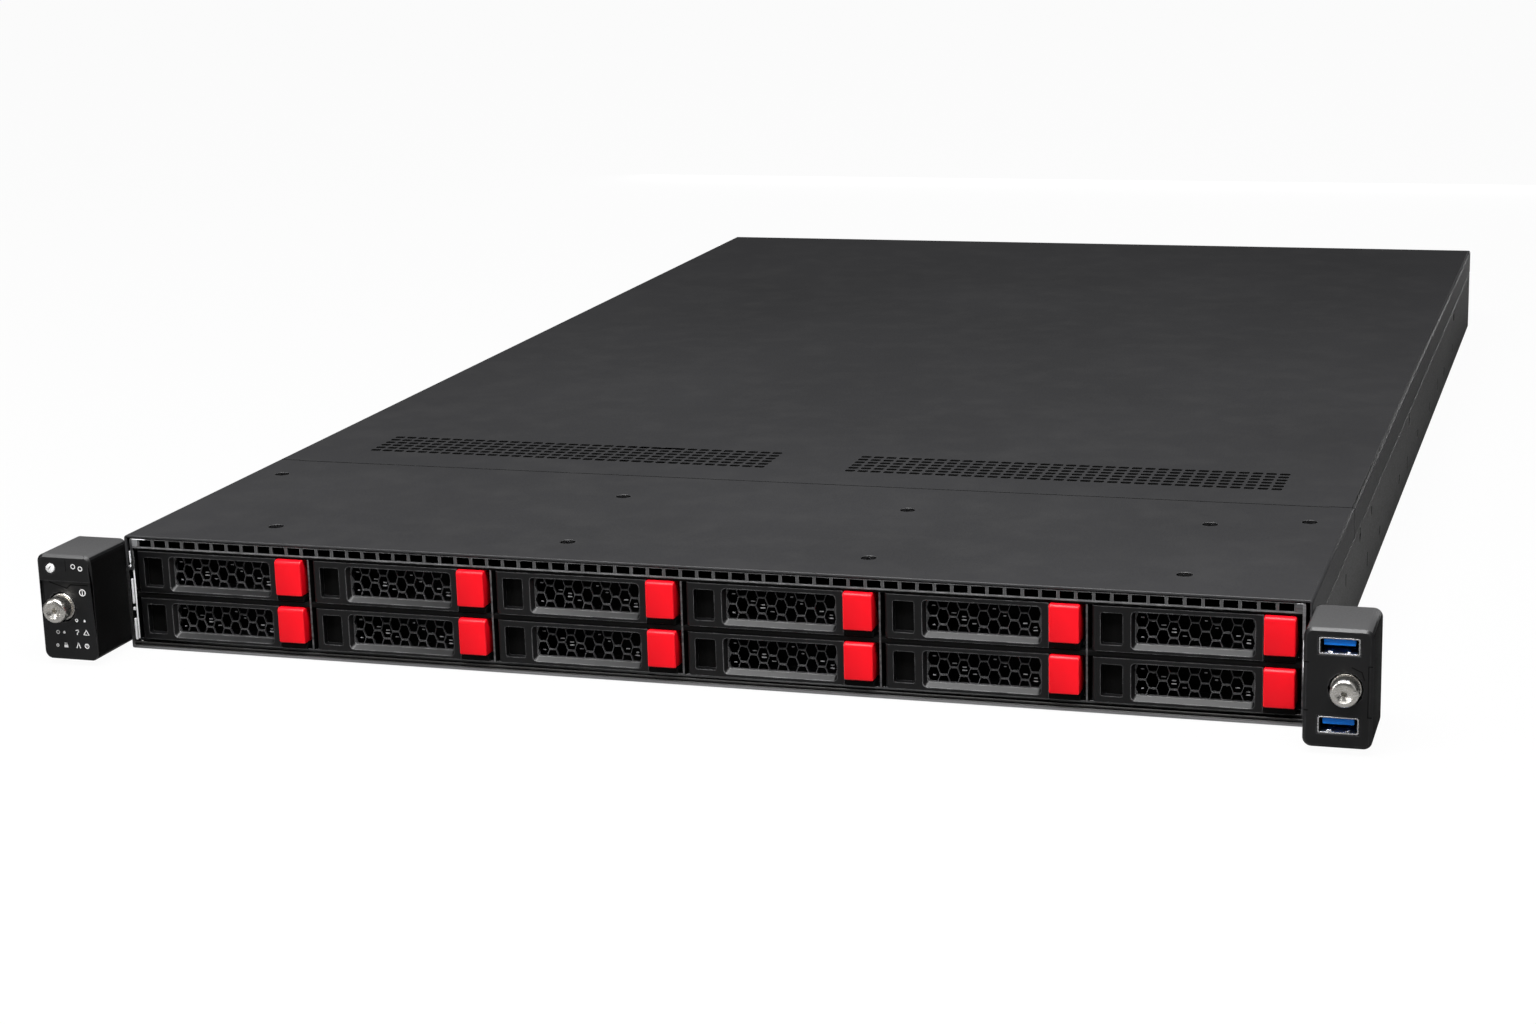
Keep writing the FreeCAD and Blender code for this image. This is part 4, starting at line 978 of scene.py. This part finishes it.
def painted_glint_bits(count=15):
    """Short painted glints behind the comb, where cells meet."""
    pitch = (FLOOR[2] - FLOOR[0] - 2 * CELL_HALF) / (CELL_COLUMNS - 1)
    middle = (FLOOR[1] + FLOOR[3]) / 2
    bits = []
    for i in range(count):
        x = FLOOR[0] + CELL_HALF + pitch * ((i * 7) % CELL_COLUMNS)
        z = middle + (((i * 5) % 7) - 3) * 1.15
        wide = 0.5 + 0.35 * ((i * 3) % 4) / 3
        bits.append(bar(x - wide, z - 0.17, x + wide, z + 0.17, -RECESS - 1.5, -RECESS - 1.2))
    return join(*bits)


drawn_lever = lever_shape()
paint_faces(drawn_lever, lever_paint)
lever_mesh = to_mesh(drawn_lever, "lever_shape")
# The bars behind each comb are painted glints.
bits_mesh = to_mesh(painted_glint_bits(), "painted_glint_bits")
for bay in BAYS:
    node = "tray_lever_" + bay
    for part in (piece("lever_" + bay, lever_mesh, ["bezel", "pit", "web"], node,
                       0.22, replaces=(node,)),
                 piece("lever_painted_glints_" + bay, bits_mesh, "glint", node, 0.05)):
        part.matrix_world = Matrix.Translation(box_mm(node)[0] * MM)
        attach(part, node)
print("comb cells:", len(comb_cells(*FLOOR)))

# %% [markdown]
# The red block at the end of each bay lets the lever go. It is a solid moulding with generously
# round edges. Under it a small black block belongs to the tray, and the tray carries the disk
# behind the comb.

# %% Release buttons and trays
for bay in BAYS:
    soften("release_button_" + bay, 0.55, ["red"], segments=3, angle=20)

FRONT_PLATE = box_mm("drive_tray_01")[0].y + 5.3
UPPER_ROW, ROW_PITCH, BLOCK_TOP = 21, 18, 6.3


def tray_paint(centre, normal):
    """Front faces seen through the comb get painted shade; the block under the button is black; the
    rest and the disk are aluminium.
    """
    block = centre.z < BLOCK_TOP + ROW_PITCH * (centre.z > UPPER_ROW)
    return 1 if normal.y < -0.5 or (centre.y < FRONT_PLATE and block) else 0


for bay in BAYS:
    soften("drive_tray_" + bay, 0.12, ["drive", "pit"], tray_paint)

# %% [markdown]
# The ears are moulded housings with round corners. The frame has their form with a bevelled front
# edge, and the softened copy turns that bevel into a round one. Narrow grooves, where the real
# mouldings meet their side plates, are drawn as black lines a few hundredths of a millimetre
# proud, which is thinner than the coat is rough. The tops are paler and matt, a painted highlight,
# and the sides that face right are painted deep black as shade.

# %% Ears and power button
# Tops facing up get a paler painted highlight, and sides facing right get painted shade.
for side in ("left", "right"):
    soften(side + "_ear", 0.35, ["ear", "ear_top", "pit"],
           lambda c, n: 1 if n.z > 0.7 and c.z > 35 else 2 * (n.x > 0.9), 3, 22)
soften("power_button", 0.25, ["white"])
left_ear, left_ear_far = box_mm("left_ear")
right_ear = box_mm("right_ear")[0]
EAR_TOP = left_ear_far.z
STEP_DOWN, STEP = 10.4, 0.8  # below the button the left ear's face steps back


def stroke(points, wide):
    """Thin bars along a run of points, in (x, z), with square ends."""
    bars = []
    for start, end in zip(points, points[1:]):
        start, end = Vector(start), Vector(end)
        along = (end - start).normalized() * wide / 2
        side = Vector((-along.y, along.x))
        corners = [start - along + side, start - along - side, end + along - side,
                   end + along + side]
        bars.append([(c.x, c.y) for c in corners][::-1])
    return bars


def on_ear(ear, right, down):
    """From distances right of an ear's left edge and below its top to x and z."""
    return ear.x + right, EAR_TOP - down


def ear_strokes(ear, table):
    """Strokes on an ear, from their widths and their runs of points."""
    return [drawn for wide, points in table
            for drawn in stroke([on_ear(ear, *point) for point in points], wide)]


def marks(name, loops, ear, finish, proud):
    """Thin marks on an ear's face, each loop, or loop with its hole, a small plate of its own."""
    plates = []
    for loop in loops:
        outlines = loop if isinstance(loop[0][0], tuple) else [loop]
        down = EAR_TOP - sum(z for x, z in outlines[0]) / len(outlines[0])
        depth = -ear.y - (STEP if ear is left_ear and down > STEP_DOWN else 0.0)
        plates.append(solid(outlines, depth - 0.3, depth + proud))
    return made(name, plates, finish)


marks("left_ear_grooves", ear_strokes(left_ear, (
    (0.2, [(12.1, 1.9), (12.1, 6.0)]),
    (0.35, [(4.3, 10.6), (11.3, 12.7), (13.0, 11.3), (20.0, 11.3)]),
    (0.25, [(1.6, 11.6), (1.6, 24.4)]))), left_ear, "pit", 0.02)
marks("right_ear_grooves", ear_strokes(right_ear, (
    (0.3, [(21.9, 12.0), (20.7, 12.0), (20.7, 29.0), (21.9, 29.0)]),
    (0.4, [(0.6, 11.5), (1.6, 11.5)]),
    (0.4, [(0.6, 27.6), (1.6, 27.6)]),
    (0.3, [(15.5, 12.6), (18.6, 14.0), (19.4, 16.5)]))), right_ear, "pit", 0.02)
print("ear depth in mm:", round(left_ear_far.y - left_ear.y, 1))

# %% [markdown]
# The status lights of the left ear have small printed signs. They are generic ones of this
# design's own: rings, drops, a lock, a triangle and a hook, each well under three millimetres.
# Each is a thin white plate, because print lies on the face with a sharp edge and no depth of its
# own.

# %% Status signs
def ring_sign(x, down, radius, wide=0.3):
    """A ring on the left ear."""
    centre = on_ear(left_ear, x, down)
    return [ring(*centre, radius, 20), ring(*centre, radius - wide, 20)]


def drop_sign(x, down, half):
    """A drop on the left ear, round below and pointed above."""
    cx, cz = on_ear(left_ear, x, down)
    angles = [2 * math.pi * i / 16 for i in range(1, 16)]
    return [(cx, cz + half * 1.45)] + [(cx + half * math.sin(a), cz + half * math.cos(a))
                                       for a in angles]


signs = [ring_sign(15.2, 4.1, 0.95), ring_sign(18.1, 4.8, 0.95, 0.35),
         ring_sign(17.7, 14.1, 1.35, 0.35), ring_sign(14.3, 24.8, 0.62, 0.28),
         drop_sign(17.6, 24.9, 0.42), ring_sign(6.1, 29.7, 0.75), drop_sign(8.7, 29.7, 0.5),
         ring_sign(5.5, 34.8, 0.6, 0.28), ring_sign(17.7, 34.5, 0.95)]
signs += ear_strokes(left_ear, (
    (0.3, [(17.7, 13.4), (17.7, 14.8)]),
    (0.3, [(13.6, 28.7), (14.6, 28.5), (14.7, 29.2), (14.1, 29.6), (14.1, 30.2)]),
    (0.28, [(17.9, 28.4), (19.0, 30.2), (16.8, 30.2), (17.9, 28.4)])))
signs += [rounded(*on_ear(left_ear, 8.2, 35.4), *on_ear(left_ear, 9.8, 34.4), 0.15, 2)]
signs += ear_strokes(left_ear, (
    (0.25, [(8.55, 34.4), (8.6, 33.8), (9.4, 33.8), (9.45, 34.4)]),
    (0.32, [(13.5, 35.3), (14.2, 33.4), (14.9, 35.3)]),
    (0.26, [(17.7, 34.5), (17.7, 33.9)])))
marks("status_signs", signs, left_ear, "white", 0.03)
cx, cz = on_ear(left_ear, 5.6, 4.9)
button_face = -box_mm("power_button")[0].y
slash = [solid([outline], button_face - 0.1, button_face + 0.02)
         for outline in stroke([(cx - 0.35, cz - 0.5), (cx + 0.45, cz + 0.55)], 0.3)]
made("power_slash", slash, "pit", body=frame["nodes"]["power_button"]["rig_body"])
print("signs:", len(signs))

# %% [markdown]
# Each port is a folded steel shell round a blue tongue. Through its mouth one sees a black floor
# and the two springs that grip a plug. The shell is an outline with a hole, drawn out to the depth
# of the port, because a folded shell has the same end view all the way in.

# %% Ports
port_low, port_high = box_mm("usb_ports")
PORT_X, PORT_Z = (port_low.x + port_high.x) / 2, (port_low.z + 2.85, port_high.z - 2.85)
PORT_FACE = -port_low.y
PORT_BACK = PORT_FACE - 13.5
shells, tongues, springs, wells = [], [], [], []
for z in PORT_Z:
    outer = rounded(PORT_X - 6.5, z - 2.8, PORT_X + 6.5, z + 2.8, 0.5, 3)
    inner = rounded(PORT_X - 6.1, z - 2.35, PORT_X + 6.1, z + 2.45, 0.4, 3)
    shells.append(solid([outer, inner], PORT_BACK, PORT_FACE - 0.02))
    wells.append(solid([inner], PORT_BACK, PORT_BACK + 2.0))
    tongues.append(bar(PORT_X - 5.0, z + 0.1, PORT_X + 5.0, z + 2.0, PORT_FACE - 12,
                       PORT_FACE - 0.9))
    for x, wide in ((PORT_X - 2.9, 0.8), (PORT_X + 2.9, 0.55)):
        springs.append(bar(x - wide, z - 2.3, x + wide, z - 1.95, PORT_FACE - 6.0,
                           PORT_FACE - 1.0))
    for x in (PORT_X - 6.1, PORT_X + 5.75):
        wells.append(bar(x, z - 2.3, x + 0.35, z + 2.4, PORT_FACE - 11.6, PORT_FACE - 0.6))
made("port_shells", shells, "shell", 0.08, replaces=("usb_ports",))
made("port_springs", springs, "shell", 0.1)
made("port_tongues", tongues, "blue", 0.15)
made("port_wells", wells, "pit", 0.05)
print("ports:", len(PORT_Z))

# %% [markdown]
# The thumbscrews hold the server in the rack. They are turned from nickel-plated bar: a thin
# flange, a round knob and a six-sided socket. A turned piece is one profile spun round its axis.

# %% Thumbscrews
KNOB, SOCKET = 4.7, 1.1
KNOB_PROFILE = [(3.0, 0), (3.7, 0.08), (4.2, 0.35), (4.55, 0.8), (KNOB, 1.4), (KNOB, 5.0),
                (4.5, 5.6), (4.0, 5.9), (4.0, 6.4), (4.9, 6.45), (5.05, 6.6), (5.05, 8.4),
                (4.9, 8.6), (2.5, 8.6)]
TURN_STEPS = 48


def circle(bm, radius, along):
    """A loop of points round the Y axis; the radius may follow the angle."""
    angles = [2 * math.pi * i / TURN_STEPS for i in range(TURN_STEPS)]
    reach = radius if callable(radius) else lambda angle: radius
    return [bm.verts.new((reach(a) * math.cos(a), along, reach(a) * math.sin(a))) for a in angles]


def socket_wall(angle):
    """How far out the wall of the six-sided socket is."""
    local = (angle + math.pi / 6) % (math.pi / 3) - math.pi / 6
    return SOCKET * math.cos(math.pi / 6) / math.cos(local)


for side in ("left", "right"):
    node = "thumbscrew_" + side
    low, high = box_mm(node)
    bm = bmesh.new()
    profile = [(radius, low.y + along) for radius, along in KNOB_PROFILE]
    loops = [circle(bm, *point) for point in profile + [(2.5, high.y - 0.6), (2.0, high.y)]]
    for first, second in zip(loops, loops[1:]):
        join_loops(bm, first, second)
    bm.faces.new(loops[-1])
    sunk = [loops[0], circle(bm, 1.5, low.y + 1.0), circle(bm, socket_wall, low.y + 1.05),
            circle(bm, socket_wall, low.y + 3.05)]
    for first, second in zip(sunk, sunk[1:]):
        join_loops(bm, second, first)
    bm.faces.new(sunk[-1][::-1])
    bmesh.ops.recalc_face_normals(bm, faces=bm.faces)
    bmesh.ops.translate(bm, verts=bm.verts, vec=((low.x + high.x) / 2, 0, (low.z + high.z) / 2))
    smooth(piece(node + "_skin", to_mesh(bm, node), "nickel", node,
                 replaces=(node,)), 28)
print("knob radius in mm:", KNOB)

# %% [markdown]
# The inner pieces show through the openings at the back and when the rear cover is off, so they
# get their own finishes too: green boards, black fans, bright fins.

# %% Inner pieces and the back
soften("fan_frames", 0.3, ["fan"])
for i in range(6):
    soften("fan_rotor_%d" % (i + 1), 0.2, ["fan"])
soften("backplane", 0.1, ["board"])
soften("motherboard", 0.15, ["board", "shell"],
       lambda c, n: 1 if c.y > 710 and c.z > 7.7 else 0)
soften("heat_sinks", 0.1, ["sink"])
soften("memory_modules", 0.1, ["board", "pit"],
       lambda c, n: 1 if c.z < 10.9 else 0)
for side in ("left", "right"):
    soften("power_supply_" + side, 0.3, ["zinc", "pit"],
           lambda c, n: 1 if c.y > 741.2 or (c.y > 726 and 1.2 < c.z < 39.8 and c.y < 740.9) else 0)

# %% [markdown]
# The rear wall is black sheet like the case, punched for the power supplies, the connectors and
# two card slots. Wherever nothing else stands, it has small six-sided vents in staggered rows,
# which keep the sheet stiff.

# %% Rear wall
REAR = case_high.y
BOARD = 7.6                         # top of the mainboard, on which the connectors stand
SUPPLY_X, SUPPLY_TOP = 66.7, 41.2   # opening of the power supplies
SLOT_LEFTS, SLOT_LOW, SLOT_HIGH = (-208, -83), 25.5, 37.5
JACK_LEFT, JACK_PITCH, JACK_WALL = -150, 16.5, 2
PORT_CUTS = {"jacks": (-150.3, BOARD - 0.3, -83.7, BOARD + 13.7),
             "display": (-72.3, BOARD - 0.3, -40.9, BOARD + 12.8),
             "stack": (-28.3, BOARD - 0.3, -13.1, BOARD + 15.9),
             "left slot": (-208, SLOT_LOW, -101, SLOT_HIGH),
             "right slot": (-83, SLOT_LOW, 24, SLOT_HIGH)}
COMB_FIELDS = ((-213, 8, -155, 22.5), (-7, 5, 62, 23), (31, 26.5, 62, 39))


def comb_field(left, low, right, high, radius=1.9, pitch=4.6):
    """Staggered rows of six-sided holes that fit into a rectangle."""
    holes, row, z = [], 0, low + radius
    while z + radius <= high:
        x = left + radius + (pitch / 2) * (row % 2)
        while x + radius <= right:
            holes.append(ring(x, z, radius, 6, math.pi / 6))
            x += pitch
        row += 1
        z += pitch * 0.866
    return holes


wall = [(-WALL_IN, 1), (SUPPLY_X, 1), (SUPPLY_X, SUPPLY_TOP), (TUCK_IN, SUPPLY_TOP),
        (TUCK_IN, 42.3), (-TUCK_IN, 42.3), (-TUCK_IN, JOG - 1), (-WALL_IN, JOG - 1)]
cuts = [rectangle(*cut) for cut in PORT_CUTS.values()]
cuts += [hole for field in COMB_FIELDS for hole in comb_field(*field)]
made("rear_wall", [solid([wall] + cuts, -REAR, 1 - REAR),
                   bar(SUPPLY_X + 149.4, 1, WALL_IN, JOG - 1, -REAR, 1 - REAR)],
     "case")
made("supply_guide", [bar(SUPPLY_X - 1, 556, SUPPLY_X, REAR - 1, 1, 35.6, "top")], "zinc",
     0.15)
covers, screws = [], []
for left in SLOT_LEFTS:
    vents = [rounded(left + 3.6 + 4.4 * i, 27.2, left + 6.0 + 4.4 * i, 35.8, 1.1, 3)
             for i in range(23)]
    covers.append(solid([rectangle(left - 3, 24, left + 110, 39)] + vents, 1 - REAR, 2 - REAR))
    for x in (left - 1.2, left + 108.2):
        screws.append(solid([ring(x, 31.5, 1.9), ring(x, 31.5, 0.9, 6)], -REAR - 1.1, -REAR))
        screws.append(solid([ring(x, 31.5, 1.0, 6)], -REAR - 0.5, -REAR))
made("slot_covers", covers, "zinc", 0.15)
made("slot_screws", screws, "nickel", 0.15)
print("cuts of the rear wall:", len(cuts))

# %% [markdown]
# Rear connectors are what a reader looks for at the back of a server. Each jack has eight gilt
# springs hanging from its roof and a black lining. The display socket is a steel D with rows of
# small holes in blue plastic, between two six-sided stand-offs, and the stack below has two blue
# tongues.

# %% Rear connectors
DISPLAY_X, DISPLAY_Z = -56.6, BOARD + 6.25


def dee(wide, tall, cut, radius=1.6):
    """The D-shaped outline of the display socket: a wide top, slanted sides, round corners."""
    points = [(cut - wide, -tall), (wide - cut, -tall), (wide, tall), (-wide, tall)]
    return bent([(DISPLAY_X + x, DISPLAY_Z + z) for x, z in points], radius, 4)


jack_lefts = [JACK_LEFT + JACK_PITCH * i + JACK_WALL for i in range(4)]
springs = [bar(x, BOARD + 8.6, x + 0.5, BOARD + 9.2, 3 - REAR, 16 - REAR)
           for left in jack_lefts for x in [left + 2.0 + 1.15 * k for k in range(8)]]
made("jack_springs", springs, "gold")
linings = [bar(left, BOARD + 1.9, left + JACK_PITCH - 2 * JACK_WALL, BOARD + 2.1, 0.4 - REAR,
               15 - REAR) for left in jack_lefts]
made("jack_linings", linings, "pit")
metal = [solid([dee(8.6, 4.3, 1.4), dee(8.1, 3.8, 1.3)], -REAR - 5.2, -REAR),
         solid([rounded(DISPLAY_X - 15.2, DISPLAY_Z - 6.1, DISPLAY_X + 15.2, DISPLAY_Z + 6.1,
                        1.0)], -REAR - 0.5, 0.4 - REAR)]
metal += [solid([ring(x, DISPLAY_Z, 2.5, 6), ring(x, DISPLAY_Z, 1.3, 16)], -REAR - 5.0, -REAR)
          for x in (DISPLAY_X - 12.4, DISPLAY_X + 12.4)]
made("display_shell", metal, "shell", 0.12)
pins = [ring(DISPLAY_X - 5.0 + 2.3 * i + 1.15 * (row == 1), DISPLAY_Z - 2.1 + 2.1 * row, 0.45, 10)
        for row in range(3) for i in range(5)]
made("display_block", [solid([dee(8.0, 3.7, 1.3)] + pins, -REAR - 4.6, -REAR)], "blue",
     0.1)
tongues = [bar(-25.3, z + 0.2, -16.1, z + 2.0, 1.0 - REAR, 12 - REAR)
           for z in (BOARD + 3.9, BOARD + 11.7)]
made("stack_tongues", tongues, "blue", 0.15)
print("springs of the jacks:", len(springs))

# %% [markdown]
# Each power supply shows a three-pin inlet and a fan outlet behind a wire guard, with a black loop
# handle to pull it by. The guard is four rings and a cross of thin wire, which stop a finger but
# hardly slow the air.

# %% Power supply fittings
CASE_TO_FACE = 20   # the handle stands this far out of the supply's face
VENT_IN, INLET_IN = 21, 20
for side in ("left", "right"):
    body = "power_supply_" + side
    low, high = box_mm(body)
    face, middle = CASE_TO_FACE - high.y, (low.z + high.z) / 2
    vent_x, inlet_x = high.x - VENT_IN, low.x + INLET_IN
    wires = [solid([ring(vent_x, middle, r), ring(vent_x, middle, r - 0.7)], face + 0.5,
                   face + 1.3) for r in (13.6, 10.4, 7.2, 4.0)]
    wires += [bar(vent_x - wide, middle - tall, vent_x + wide, middle + tall, face + 1.2,
                  face + 2.0) for wide, tall in ((13.2, 0.4), (0.4, 13.2))]
    made("guard_" + side, wires, "nickel", 0.15, body)
    blades = [solid([rounded(inlet_x + x - 1.1, middle + z - 2.0, inlet_x + x + 1.1,
                             middle + z + 2.0, 0.4)], face + 2.5, face + 13.8)
              for x, z in ((-6.5, 2.2), (6.5, 2.2), (0, -3.4))]
    made("inlet_pins_" + side, blades, "nickel", 0.2, body)
    rim = solid([rounded(inlet_x - 15.4, middle - 11.6, inlet_x + 15.4, middle + 11.6, 2.0),
                 rounded(inlet_x - 13.2, middle - 9.4, inlet_x + 13.2, middle + 9.4, 3.0)],
                face - 0.8, face + 0.2)
    made("inlet_rim_" + side, [rim], "fan", 0.25, body)
    print(body, "width in mm:", round(high.x - low.x, 1))
